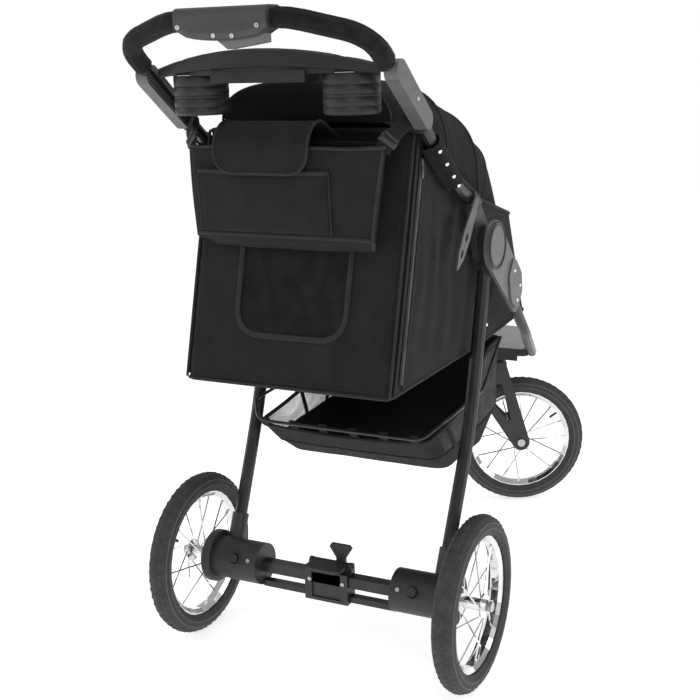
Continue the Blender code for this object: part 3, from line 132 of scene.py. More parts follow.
def mottle(node, vector, scale, detail=3.0):
    return node(
        "ShaderNodeTexNoise", {"Vector": vector, "Scale": scale, "Detail": detail}
    ).outputs["Fac"]


def shades(node, amount, colours, spots=(0.3, 0.7)):
    """A colour between these two, following the amount."""
    ramp = node("ShaderNodeValToRGB", {"Fac": amount})
    for element, spot, colour in zip(ramp.color_ramp.elements, spots, colours):
        element.position = spot
        element.color = (*colour, 1)
    return ramp.outputs["Color"]


def between(node, amount, low, high):
    """The amount, from 0 to 1, stretched to run from low to high."""
    return node(
        "ShaderNodeMapRange", {"Value": amount, "To Min": low, "To Max": high}
    ).outputs[0]


def wire_up(finish, shader, colour=None, rough=None, height=None, depth=0.0002, strength=0.6):
    """Joins the worked-out colour, roughness and surface height to the shader."""
    links, nodes = finish.node_tree.links, finish.node_tree.nodes
    if colour is not None:
        links.new(colour, shader.inputs["Base Color"])
    if rough is not None:
        links.new(rough, shader.inputs["Roughness"])
    if height is not None:
        bump = nodes.new("ShaderNodeBump")
        bump.inputs["Distance"].default_value = depth
        bump.inputs["Strength"].default_value = strength
        links.new(height, bump.inputs["Height"])
        links.new(bump.outputs["Normal"], shader.inputs["Normal"])
    return finish


def threads(node, pitch, turned=0.0):
    """Two crossing waves a thread apart, on the piece's own flat cloth."""
    flat = place(node, "UV", Scale=(math.tau / pitch,) * 3, Rotation=(0, 0, turned))
    parts = node("ShaderNodeSeparateXYZ", {0: flat})
    return [sums(node, "SINE", parts.outputs[axis]) for axis in ("X", "Y")]


def woven_cloth(name, dark, light, pitch=WEAVE_PITCH, sheen=0.06, depth=0.00035):
    """Woven polyester: crossing yarns, uneven dye, soft rubbed patches."""
    finish, shader, node = new_finish(
        name, light, 0.85, Sheen_Weight=sheen, Sheen_Roughness=0.5, Specular_IOR_Level=0.12
    )
    warp, weft = threads(node, pitch)
    yarn = times(node, warp, weft)
    flat = place(node, "UV")
    slub = mottle(node, place(node, "UV", Scale=(60, 900, 1)), 1.0)
    dye = mottle(node, flat, 28, 5)
    rubbed = mottle(node, place(node), 9, 4)
    mixed = plus(node, times(node, yarn, 0.10), times(node, slub, 0.35))
    mixed = plus(node, mixed, times(node, dye, 0.40))
    mixed = plus(node, mixed, times(node, rubbed, 0.25))
    colour = shades(node, mixed, (dark, light), (0.30, 0.72))
    rough = between(node, rubbed, 0.70, 0.95)
    height = plus(node, yarn, times(node, slub, 0.8))
    return wire_up(finish, shader, colour, rough, height, depth, 0.7)


def open_net(name, dark, light, pitch=NET_PITCH, gap=0.35, closed=0.15):
    """Knitted see-through mesh: small holes between round cords."""
    finish, shader, node = new_finish(name, light, 0.75, Specular_IOR_Level=0.12, Sheen_Weight=0.04)
    across, along = threads(node, pitch)
    hole = times(node, sums(node, "ABSOLUTE", across), sums(node, "ABSOLUTE", along))
    edge = node(
        "ShaderNodeMapRange",
        {"Value": hole, "From Min": gap, "From Max": gap + 0.2, "To Min": 1.0, "To Max": closed},
    ).outputs[0]
    finish.node_tree.links.new(edge, shader.inputs["Alpha"])
    dye = mottle(node, place(node, "UV"), 40)
    colour = shades(node, dye, (dark, light))
    return wire_up(finish, shader, colour, between(node, dye, 0.6, 0.9), hole, 0.0004, -0.6)


def moulded(name, dark, light, rough, grain=900.0, depth=0.00012, specular=0.5):
    """Moulded plastic: fine spark texture, faint flow marks and handling scuffs."""
    finish, shader, node = new_finish(name, light, rough, Specular_IOR_Level=specular)
    spark = mottle(node, place(node), grain, 2)
    flow = mottle(node, place(node, Scale=(1, 1, 3)), 14, 4)
    scuff = mottle(node, place(node, Rotation=(0.4, 0.2, 0.7), Scale=(30, 260, 60)), 1.0, 3)
    tone = plus(node, times(node, spark, 0.3), times(node, flow, 0.7))
    worn = between(node, scuff, rough - 0.08, rough + 0.12)
    return wire_up(finish, shader, shades(node, tone, (dark, light)), worn, spark, depth, 0.5)


def painted(name, dark, light, rough=0.34):
    """Gloss powder coat on steel tube: faint orange peel, dust and fine rubbing."""
    finish, shader, node = new_finish(
        name, light, rough, Coat_Weight=0.15, Coat_Roughness=0.25, Specular_IOR_Level=0.4
    )
    peel = mottle(node, place(node), 260, 2)
    dust = mottle(node, place(node, Scale=(1, 1, 0.4)), 40, 6)
    colour = shades(node, dust, (dark, light), (0.35, 0.75))
    worn = between(node, dust, rough - 0.05, rough + 0.14)
    return wire_up(finish, shader, colour, worn, peel, 0.00005, 0.1)


def bright_metal(name, dark, light, rough):
    """Plated metal with fine circular polishing and a little dulling."""
    finish, shader, node = new_finish(name, light, rough, 1.0)
    polish = mottle(node, place(node, Scale=(900, 60, 60)), 1.0, 2)
    dull = mottle(node, place(node), 30, 4)
    colour = shades(node, dull, (dark, light))
    worn = between(node, dull, rough * 0.7, rough * 1.8)
    return wire_up(finish, shader, colour, worn, polish, 0.00004, 0.3)


def tyre_rubber(name, hub, turn, radius=0.1525, section=0.0205, blocks=58):
    """Tyre rubber round this hub: sipes between the tread blocks and two moulded lines, which are also painted
    lighter as a highlight.
    """
    finish, shader, node = new_finish(name, (0.05, 0.05, 0.052), 0.72, Specular_IOR_Level=0.4)
    told = node("ShaderNodeTexCoord").outputs["Object"]
    seat = node("ShaderNodeMapping", {"Vector": told, "Location": [-c for c in hub]}).outputs[0]
    turned = node("ShaderNodeMapping", {"Vector": seat, "Rotation": (0, 0, turn)}).outputs[0]
    parts = node("ShaderNodeSeparateXYZ", {0: turned})
    angle = sums(node, "ARCTAN2", parts.outputs["Z"], parts.outputs["Y"])
    squares = [sums(node, "POWER", parts.outputs[axis], 2.0) for axis in "YZ"]
    reach = sums(node, "SQRT", plus(node, *squares))
    wave = sums(node, "SINE", times(node, angle, float(blocks)))
    sipe = sums(node, "GREATER_THAN", wave, 0.86)
    crown = sums(node, "GREATER_THAN", reach, radius - section * 0.75)
    cut = times(node, sipe, crown)
    lines = [
        sums(node, "COMPARE", reach, radius - section * share) for share in (0.62, 1.10)
    ]
    for line in lines:
        line.node.inputs[2].default_value = 0.0009
    ring = sums(node, "MAXIMUM", *lines)
    grey = mottle(node, told, 60, 5)
    # random grey dust, plus a painted highlight: the colour is made lighter along the two moulded lines
    dust_and_line_highlight = plus(node, times(node, grey, 0.5), times(node, ring, 0.5))
    colour = shades(node, dust_and_line_highlight, ((0.030, 0.030, 0.032), (0.120, 0.120, 0.124)), (0.2, 0.9))
    height = sums(node, "SUBTRACT", times(node, ring, 0.5), cut)
    height = plus(node, height, times(node, mottle(node, told, 700, 2), 0.15))
    return wire_up(finish, shader, colour, between(node, grey, 0.58, 0.82), height, 0.0012, 0.9)


def grip_foam(name):
    """Closed-cell foam: small pores on a matt skin."""
    finish, shader, node = new_finish(
        name, (0.02, 0.02, 0.021), 0.9, Specular_IOR_Level=0.15, Sheen_Weight=0.05
    )
    cells = node("ShaderNodeTexVoronoi", {"Vector": place(node), "Scale": 620.0}).outputs["Distance"]
    swirl = mottle(node, place(node), 45, 4)
    colour = shades(node, swirl, ((0.005, 0.005, 0.0055), (0.015, 0.015, 0.0155)))
    return wire_up(finish, shader, colour, between(node, swirl, 0.78, 0.97), cells, 0.0005, 0.8)


def footboard_plastic(name, top):
    """Pale ribbed tread on the board's top, black moulding below it."""
    finish, shader, node = new_finish(name, (0.3, 0.3, 0.31), 0.6)
    told = place(node)
    parts = node("ShaderNodeSeparateXYZ", {0: told})
    upper = node(
        "ShaderNodeMapRange",
        {"Value": parts.outputs["Z"], "From Min": top - 0.0045, "From Max": top - 0.0030},
    ).outputs[0]
    ribs = sums(node, "SINE", times(node, parts.outputs["Y"], math.tau / 0.009))
    swirl = mottle(node, place(node, Scale=(20, 60, 20)), 1.0, 5)
    pale = shades(node, swirl, ((0.29, 0.29, 0.30), (0.36, 0.36, 0.37)))
    dark = shades(node, swirl, ((0.012, 0.012, 0.013), (0.03, 0.03, 0.031)))
    colour = node("ShaderNodeMix", {"Factor": upper}, data_type="RGBA")
    finish.node_tree.links.new(dark, colour.inputs[6])
    finish.node_tree.links.new(pale, colour.inputs[7])
    return wire_up(finish, shader, colour.outputs[2], between(node, swirl, 0.5, 0.75), ribs, 0.0012, 0.5)


cloth = woven_cloth("polyester_cloth", (0.009, 0.009, 0.0095), (0.023, 0.023, 0.0245))
cloth_soft = woven_cloth("canopy_cloth", (0.006, 0.006, 0.0065), (0.016, 0.016, 0.0172), sheen=0.04)
basket_cloth = woven_cloth("basket_cloth", (0.008, 0.008, 0.009), (0.026, 0.026, 0.028), 0.0014)
binding = woven_cloth("binding_tape", (0.018, 0.018, 0.019), (0.042, 0.042, 0.044), 0.0009, 0.10)
webbing = woven_cloth("strap_webbing", (0.010, 0.010, 0.011), (0.028, 0.028, 0.030), 0.0022, 0.08, 0.0009)
pad_cloth = woven_cloth("pad_cloth", (0.020, 0.020, 0.022), (0.055, 0.055, 0.058), 0.0013, 0.12)
thread = woven_cloth("sewing_thread", (0.026, 0.026, 0.028), (0.055, 0.055, 0.058), 0.0006, 0.05, 0.0001)
window_net = open_net("window_net", (0.008, 0.008, 0.0085), (0.020, 0.020, 0.021), 0.0021, closed=0.45)
side_net = open_net("side_net", (0.009, 0.009, 0.010), (0.026, 0.026, 0.028), 0.0050, 0.4, 0.86)
basket_net = open_net("basket_net", (0.05, 0.05, 0.052), (0.12, 0.12, 0.125), 0.0044, 0.22, 0.05)
tray_plastic = moulded("tray_plastic", (0.010, 0.010, 0.0105), (0.020, 0.020, 0.021), 0.45, specular=0.35)
black_plastic = moulded("black_plastic", (0.014, 0.014, 0.015), (0.028, 0.028, 0.030), 0.46)
grey_plastic = moulded("grey_plastic", (0.075, 0.076, 0.079), (0.125, 0.127, 0.131), 0.40)
console_plastic = moulded("console_plastic", (0.030, 0.030, 0.032), (0.052, 0.053, 0.055), 0.40)
trigger_plastic = moulded("trigger_plastic", (0.10, 0.10, 0.105), (0.155, 0.157, 0.16), 0.42)
tube_paint = painted("tube_paint", (0.007, 0.007, 0.0075), (0.020, 0.020, 0.021))
chrome = bright_metal("bright_chrome", (0.62, 0.62, 0.64), (0.86, 0.86, 0.88), 0.10)
steel = bright_metal("brushed_steel", (0.40, 0.40, 0.42), (0.62, 0.62, 0.64), 0.28)
link_steel = moulded("painted_link", (0.052, 0.053, 0.055), (0.085, 0.086, 0.088), 0.38, 500.0)
foam = grip_foam("grip_foam")
zip_metal = bright_metal("zip_metal", (0.10, 0.10, 0.105), (0.25, 0.25, 0.26), 0.35)


def hub_of(node):
    low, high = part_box(node)
    return (low + high) / 2


TYRES = {
    "rear_L_tyre": tyre_rubber("rear_left_tyre", hub_of("rear_L_tyre"), 0.0),
    "rear_R_tyre": tyre_rubber("rear_right_tyre", hub_of("rear_R_tyre"), 0.0),
    "front_tyre": tyre_rubber("front_tyre_rubber", hub_of("front_tyre"), math.radians(-116.5)),
}


def both(*names):
    """The names of left and right nodes."""
    return [f"{name}_{side}" for name in names for side in "LR"]


FINISH_ROWS = (
    (chrome, ["rear_L_wheel", "rear_R_wheel", "front_wheel"]),
    (steel, both("rear_axle", "hinge_pin") + ["front_axle"]),
    (tube_paint, both("rear_leg", "front_tube") + ["handle_tube", "basket_wire"]),
    (tube_paint, ["axle_beam_upper", "axle_beam_lower"]),
    (black_plastic, both("axle_housing", "hub_collar", "release_button", "handle_arm")),
    (black_plastic, ["brake_bracket", "brake_pedal", "front_fork", "swivel_socket"]),
    (grey_plastic, both("hinge_housing", "hinge_cap", "rivet_plate", "tray_bracket")),
    (link_steel, both("fold_link")),
    (foam, both("foam_grip")),
    (tray_plastic, both("cup_holder") + ["cup_tray"]),
    (console_plastic, ["grip_console"]),
    (trigger_plastic, ["squeeze_trigger"]),
    (footboard_plastic("footboard_plastic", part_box("footboard")[1].z), ["footboard"]),
)
NODE_FINISHES = dict(TYRES)
for finish, names in FINISH_ROWS:
    NODE_FINISHES.update(dict.fromkeys(names, finish))
for name, finish in NODE_FINISHES.items():
    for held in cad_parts[name].material_slots:
        held.material = finish


# ---------------------------------------------------------------- making pieces


def spaced(points, step, closed=False):
    """Even points about a step apart along a line."""
    points = [Vector(p) for p in points]
    if closed:
        points.append(points[0].copy())
    run = [0.0]
    for a, b in zip(points, points[1:]):
        run.append(run[-1] + (b - a).length)
    count = max(2, round(run[-1] / step))
    made, k = [], 0
    for i in range(count if closed else count + 1):
        aim = run[-1] * i / count
        while k < len(run) - 2 and run[k + 1] < aim:
            k += 1
        share = (aim - run[k]) / max(run[k + 1] - run[k], 1e-9)
        made.append(points[k].lerp(points[k + 1], min(1.0, share)))
    return made


def through(points, step=0.006, closed=False):
    """Even points on a smooth curve that passes through these ones."""
    p = [Vector(x) for x in points]
    count = len(p)
    made = []
    for i in range(count if closed else count - 1):
        if closed:
            a, b, c, d = (p[(i + k) % count] for k in (-1, 0, 1, 2))
        else:
            b, c = p[i], p[i + 1]
            a = p[i - 1] if i else b * 2 - c
            d = p[i + 2] if i + 2 < count else c * 2 - b
        for k in range(10):
            t = k / 10
            bend, twist = a * 2 - b * 5 + c * 4 - d, b * 3 - a - c * 3 + d
            made.append(0.5 * (b * 2 + (c - a) * t + bend * t**2 + twist * t**3))
    if not closed:
        made.append(p[-1])
    return spaced(made, step, closed)


def rounded_loop(corners, radii, counts=None, arc=6, closed=True):
    """A line with rounded corners; the counts say how many steps each straight side takes."""
    p = [Vector(c) for c in corners]
    total = len(p)
    counts = counts or [1] * total
    made = []
    for i, (corner, radius) in enumerate(zip(p, radii)):
        if not closed and i in (0, total - 1):
            made.append((corner, i if i == 0 else i - 1, 0.0 if i == 0 else 1.0))
        else:
            back = (p[i - 1] - corner).normalized()
            ahead = (p[(i + 1) % total] - corner).normalized()
            turn = math.pi - back.angle(ahead)
            cut = radius * math.tan(turn / 2)
            for k in range(arc + 1):
                t = k / arc
                a, b = corner + back * cut * (1 - t), corner + ahead * cut * t
                made.append((a.lerp(b, t), i, -1.0 + t))
        if closed or i < total - 1:
            start = made[-1][0]
            after = p[(i + 1) % total]
            if closed or i + 1 < total - 1:
                turn = math.pi - (corner - after).angle(p[(i + 2) % total] - after)
                end = after + (corner - after).normalized() * radii[(i + 1) % total] * math.tan(turn / 2)
            else:
                end = after
            for k in range(1, counts[i]):
                made.append((start.lerp(end, k / counts[i]), i, k / counts[i]))
    return made


def face_out(mesh, inside=None):
    """Turns the faces away from a point inside, or outwards on a closed piece."""
    middle = Vector(inside) + Vector((0, AXLE_Y, 0)) if inside else None
    total = 0.0
    for face in mesh.polygons:
        reach = face.center - middle if middle else face.center
        total += reach.dot(face.normal) * face.area
    if total < 0:
        mesh.flip_normals()


def build(name, corners, faces, marks, finishes, inside=None, slots=None):
    """A mesh piece from its corners and faces, with its flat-cloth map in metres."""
    mesh = bpy.data.meshes.new(name)
    mesh.from_pydata([(x, y + AXLE_Y, z) for x, y, z in corners], [], faces)
    flat = mesh.uv_layers.new(name="flat").data
    for loop, mark in zip(flat, marks):
        loop.uv = mark
    mesh.polygons.foreach_set("use_smooth", [True] * len(faces))
    for finish in finishes if isinstance(finishes, (list, tuple)) else [finishes]:
        mesh.materials.append(finish)
    if slots:
        mesh.polygons.foreach_set("material_index", slots)
    face_out(mesh, inside)
    piece = bpy.data.objects.new(name, mesh)
    scene.collection.objects.link(piece)
    return piece


def skin(name, rows, finishes, ring=False, ends=False, inside=None, slot=None):
    """A sheet, or with ring a tube, through rows of points."""
    rows = [[Vector(p) for p in row] for row in rows]
    wide, long = len(rows[0]), len(rows)
    middle = rows[long // 2]
    u, v = [0.0], [0.0]
    for a, b in zip(middle, middle[1:] + middle[:1]):
        u.append(u[-1] + (b - a).length)
    for a, b in zip(rows, rows[1:]):
        v.append(v[-1] + (b[wide // 2] - a[wide // 2]).length)
    faces, marks, slots = [], [], []
    for j in range(long - 1):
        for i in range(wide if ring else wide - 1):
            k = (i + 1) % wide
            faces.append((j * wide + i, j * wide + k, (j + 1) * wide + k, (j + 1) * wide + i))
            marks += [(u[i], v[j]), (u[i + 1], v[j]), (u[i + 1], v[j + 1]), (u[i], v[j + 1])]
            slots.append(slot(i, j) if slot else 0)
    for j, order in ((0, -1), (long - 1, 1)) if ends else ():
        ring_ids = list(range(j * wide, (j + 1) * wide))[::order]
        faces.append(ring_ids)
        marks += [(rows[j][i % wide].x, rows[j][i % wide].y) for i in ring_ids]
        slots.append(0)
    corners = [p for row in rows for p in row]
    return build(name, corners, faces, marks, finishes, inside, slots)


def finished(piece, *modifiers):
    """Applies modifiers given as (kind, settings) and leaves a plain mesh."""
    for kind, settings in modifiers:
        made = piece.modifiers.new(kind.lower(), kind)
        for key, value in settings.items():
            setattr(made, key, value)
    told = piece.evaluated_get(bpy.context.evaluated_depsgraph_get())
    mesh = bpy.data.meshes.new_from_object(told)
    piece.modifiers.clear()
    old = piece.data
    piece.data = mesh
    mesh.name = piece.name
    bpy.data.meshes.remove(old)
    return piece


def walled(piece, thickness=CLOTH_WALL, smooth=0):
    """Gives a sheet its thickness on its inner side."""
    steps = [("SOLIDIFY", {"thickness": thickness, "offset": -1.0})]
    if smooth:
        steps.insert(0, ("SUBSURF", {"levels": smooth, "render_levels": smooth}))
    return finished(piece, *steps)


def swept(name, path, finish, width, thick=None, facing=None, closed=False, sides=8):
    """A round cord, or with thick a flat tape lying on the facing side, along a path."""
    path = [Vector(p) for p in path]
    count = len(path)
    rings, up = [], None
    for i, point in enumerate(path):
        before = path[i - 1] if i or closed else point
        after = path[(i + 1) % count] if closed or i < count - 1 else point
        along = (after - before).normalized()
        if facing is not None:
            up = Vector(facing[i]) if isinstance(facing, list) else Vector(facing)
        elif up is None:
            up = Vector((0, 0, 1)) if abs(along.z) < 0.9 else Vector((1, 0, 0))
        side = along.cross(up).normalized()
        up = side.cross(along).normalized()
        ring = []
        for k in range(sides):
            angle = math.tau * k / sides
            c, s = math.cos(angle), math.sin(angle)
            if thick is None:
                offset = side * c * width + up * s * width
            else:
                c, s = (math.copysign(abs(n) ** 0.45, n) for n in (c, s))
                offset = side * c * width / 2 + up * s * thick / 2
            ring.append(point + offset)
        rings.append(ring)
    if closed:
        rings.append(rings[0])
        piece = skin(name, rings, finish, ring=True)
        cleaned(piece)
        return piece
    return skin(name, rings, finish, ring=True, ends=True)


def cleaned(piece):
    """Merges doubled points and faces the piece outwards again."""
    work = bmesh.new()
    work.from_mesh(piece.data)
    bmesh.ops.remove_doubles(work, verts=work.verts, dist=1e-6)
    bmesh.ops.recalc_face_normals(work, faces=work.faces)
    work.to_mesh(piece.data)
    work.free()
    return piece


def gathered(name, pieces, body="chassis"):
    """Joins parts into one named piece that rides on a body."""
    pieces = [p for p in pieces if p]
    with bpy.context.temp_override(
        active_object=pieces[0], object=pieces[0], selected_editable_objects=pieces, selected_objects=pieces
    ):
        if len(pieces) > 1:
            bpy.ops.object.join()
    whole = pieces[0]
    whole.name = name
    whole.data.name = name
    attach(whole, body)
    return whole


def stands_for(piece, node, body="chassis"):
    """Makes a finished piece ride on a body in place of a CAD node."""
    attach(piece, body)
    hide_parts(node)


def closed_below(piece, count, smooth):
    """Fills the small hole left in the middle of a lofted floor."""
    work = bmesh.new()
    work.from_mesh(piece.data)
    work.verts.ensure_lookup_table()
    patch = work.faces.new([work.verts[i] for i in range(count)])
    patch.normal_update()
    if patch.normal.z > 0:
        patch.normal_flip()
    patch.smooth = smooth
    work.to_mesh(piece.data)
    work.free()


# ---------------------------------------------------------------- repeats


def repeat_tree(name, template, finish, on_path):
    """A node tree that sets the template on every point, or along a path at a pitch."""
    tree = bpy.data.node_groups.new(name, "GeometryNodeTree")
    for label, way, kind in (
        ("Points", "INPUT", "NodeSocketGeometry"),
        ("Pitch", "INPUT", "NodeSocketFloat"),
        ("Size", "INPUT", "NodeSocketFloat"),
        ("Geometry", "OUTPUT", "NodeSocketGeometry"),
    ):
        tree.interface.new_socket(label, in_out=way, socket_type=kind)
    nodes, links = tree.nodes, tree.links
    given, made = nodes.new("NodeGroupInput"), nodes.new("NodeGroupOutput")
    points = given.outputs["Points"]
    if on_path:
        curve = nodes.new("GeometryNodeMeshToCurve")
        links.new(points, curve.inputs["Mesh"])
        resample = nodes.new("GeometryNodeResampleCurve")
        resample.mode = "LENGTH"
        links.new(curve.outputs["Curve"], resample.inputs["Curve"])
        links.new(given.outputs["Pitch"], resample.inputs["Length"])
        points = resample.outputs["Curve"]
    facing = nodes.new("GeometryNodeInputNamedAttribute")
    facing.data_type = "FLOAT_VECTOR"
    facing.inputs["Name"].default_value = "facing"
    turn = nodes.new("FunctionNodeAlignRotationToVector")
    turn.axis = "Z"
    links.new(facing.outputs["Attribute"], turn.inputs["Vector"])
    rotation = turn.outputs["Rotation"]
    if on_path:
        tangent = nodes.new("GeometryNodeInputTangent")
        line_up = nodes.new("FunctionNodeAlignRotationToVector")
        line_up.axis, line_up.pivot_axis = "X", "Z"
        links.new(rotation, line_up.inputs["Rotation"])
        links.new(tangent.outputs["Tangent"], line_up.inputs["Vector"])
        rotation = line_up.outputs["Rotation"]
    shape = nodes.new("GeometryNodeObjectInfo")
    shape.inputs["Object"].default_value = template
    shape.inputs["As Instance"].default_value = True
    setter = nodes.new("GeometryNodeInstanceOnPoints")
    links.new(points, setter.inputs["Points"])
    links.new(shape.outputs["Geometry"], setter.inputs["Instance"])
    links.new(rotation, setter.inputs["Rotation"])
    links.new(given.outputs["Size"], setter.inputs["Scale"])
    real = nodes.new("GeometryNodeRealizeInstances")
    links.new(setter.outputs["Instances"], real.inputs["Geometry"])
    coat = nodes.new("GeometryNodeSetMaterial")
    coat.inputs["Material"].default_value = finish
    links.new(real.outputs["Geometry"], coat.inputs["Geometry"])
    links.new(coat.outputs["Geometry"], made.inputs["Geometry"])
    return tree


def repeated(name, tree, lines, size=1.0, pitch=STITCH_PITCH, joined=True):
    """Runs a repeat tree on lines of (point, facing) and keeps the plain mesh."""
    mesh = bpy.data.meshes.new(name)
    corners, edges, facing = [], [], []
    for line in lines:
        start = len(corners)
        for point, out in line:
            corners.append((point[0], point[1] + AXLE_Y, point[2]))
            facing.append(Vector(out).normalized())
        if joined:
            edges += [(start + i, start + i + 1) for i in range(len(line) - 1)]
    mesh.from_pydata(corners, edges, [])
    told = mesh.attributes.new("facing", "FLOAT_VECTOR", "POINT")
    told.data.foreach_set("vector", [c for out in facing for c in out])
    piece = bpy.data.objects.new(name, mesh)
    scene.collection.objects.link(piece)
    run = piece.modifiers.new("repeat", "NODES")
    run.node_group = tree
    values = {"Pitch": pitch, "Size": size}
    for item in tree.interface.items_tree:
        if item.item_type == "SOCKET" and item.in_out == "INPUT" and item.name in values:
            run[item.identifier] = values[item.name]
    return finished(piece)


def template(name, rows, sides=10):
    """A small turned shape about Z from (radius, height) rows, kept out of the scene."""
    corners, faces = [], []
    for radius, height in rows:
        for k in range(sides):
            angle = math.tau * k / sides
            corners.append((radius * math.cos(angle), radius * math.sin(angle), height))
    for j in range(len(rows) - 1):
        for k in range(sides):
            a, b = j * sides + k, j * sides + (k + 1) % sides
            faces.append((a, b, b + sides, a + sides))
    faces.append(tuple(range(sides))[::-1])
    faces.append(tuple((len(rows) - 1) * sides + k for k in range(sides)))
    mesh = bpy.data.meshes.new(name)
    mesh.from_pydata(corners, [], faces)
    mesh.polygons.foreach_set("use_smooth", [True] * len(faces))
    return bpy.data.objects.new(name, mesh)


def squashed(shape, x, y, z):
    for corner in shape.data.vertices:
        corner.co = (corner.co.x * x, corner.co.y * y, corner.co.z * z)
    return shape


stitch_shape = squashed(
    template("stitch_shape", [(0.30, -1.0), (0.85, -0.5), (1.0, 0.0), (0.85, 0.5), (0.30, 1.0)], 8),
    0.00140,
    0.00040,
    0.00030,
)
tooth_shape = squashed(
    template("tooth_shape", [(0.8, -1), (1, -0.4), (1, 0.4), (0.8, 1)], 6), 0.0008, 0.0030, 0.0011
)
stud_shape = template(
    "stud_shape",
    [(0.0048, -0.001), (0.0048, 0.0004), (0.0044, 0.0010), (0.0030, 0.0020), (0.0012, 0.0025)],
    14,
)
screw_shape = template(
    "screw_shape",
    [(0.0036, -0.001), (0.0036, 0.0006), (0.0031, 0.0012)]
    + [(0.0016, 0.0013), (0.0014, 0.0004), (0.0004, 0.0003)],
    12,
)
nipple_shape = template(
    "nipple_shape", [(0.0021, -0.002), (0.0021, 0.003), (0.0017, 0.006), (0.0011, 0.0075)], 6
)
lug_shape = squashed(
    template("lug_shape", [(1.0, -1), (1.0, 0.3), (0.86, 0.9), (0.6, 1.0)], 8), 0.0058, 0.0052, 0.0010
)
stitches = repeat_tree("stitches", stitch_shape, thread, True)
zip_teeth = repeat_tree("zip_teeth", tooth_shape, zip_metal, True)
studs = repeat_tree("studs", stud_shape, chrome, False)
screws = repeat_tree("screws", screw_shape, steel, False)
nipples = repeat_tree("nipples", nipple_shape, chrome, False)


def sewn(name, seams, body="chassis"):
    """A row of stitches along each seam, as one piece."""
    return gathered(name, [repeated(name, stitches, seams)], body)


def set_on(name, tree, spots, size, body):
    """One small hard part on each spot, as one piece."""
    return gathered(name, [repeated(name, tree, [spots], size, joined=False)], body)


def ruffle(point, size, amount, seed=0.0):
    """A small smooth unevenness that depends only on the place."""
    return noise.noise(Vector(point) / size + Vector((seed, seed * 1.7, -seed))) * amount


# ---------------------------------------------------------------- cabin


def panel_y(z):
    return 0.135 - PANEL_LEAN * (z - CABIN_FLOOR)


def in_rounded(a, b, low_a, high_a, low_b, high_b, corner):
    """Whether (a, b) lies in this box with rounded lower corners."""
    if not (low_a < a < high_a and low_b < b < high_b):
        return False
    da = max(low_a + corner - a, a - (high_a - corner), 0.0)
    db = max(low_b + corner - b, 0.0)
    return math.hypot(da, db) < corner


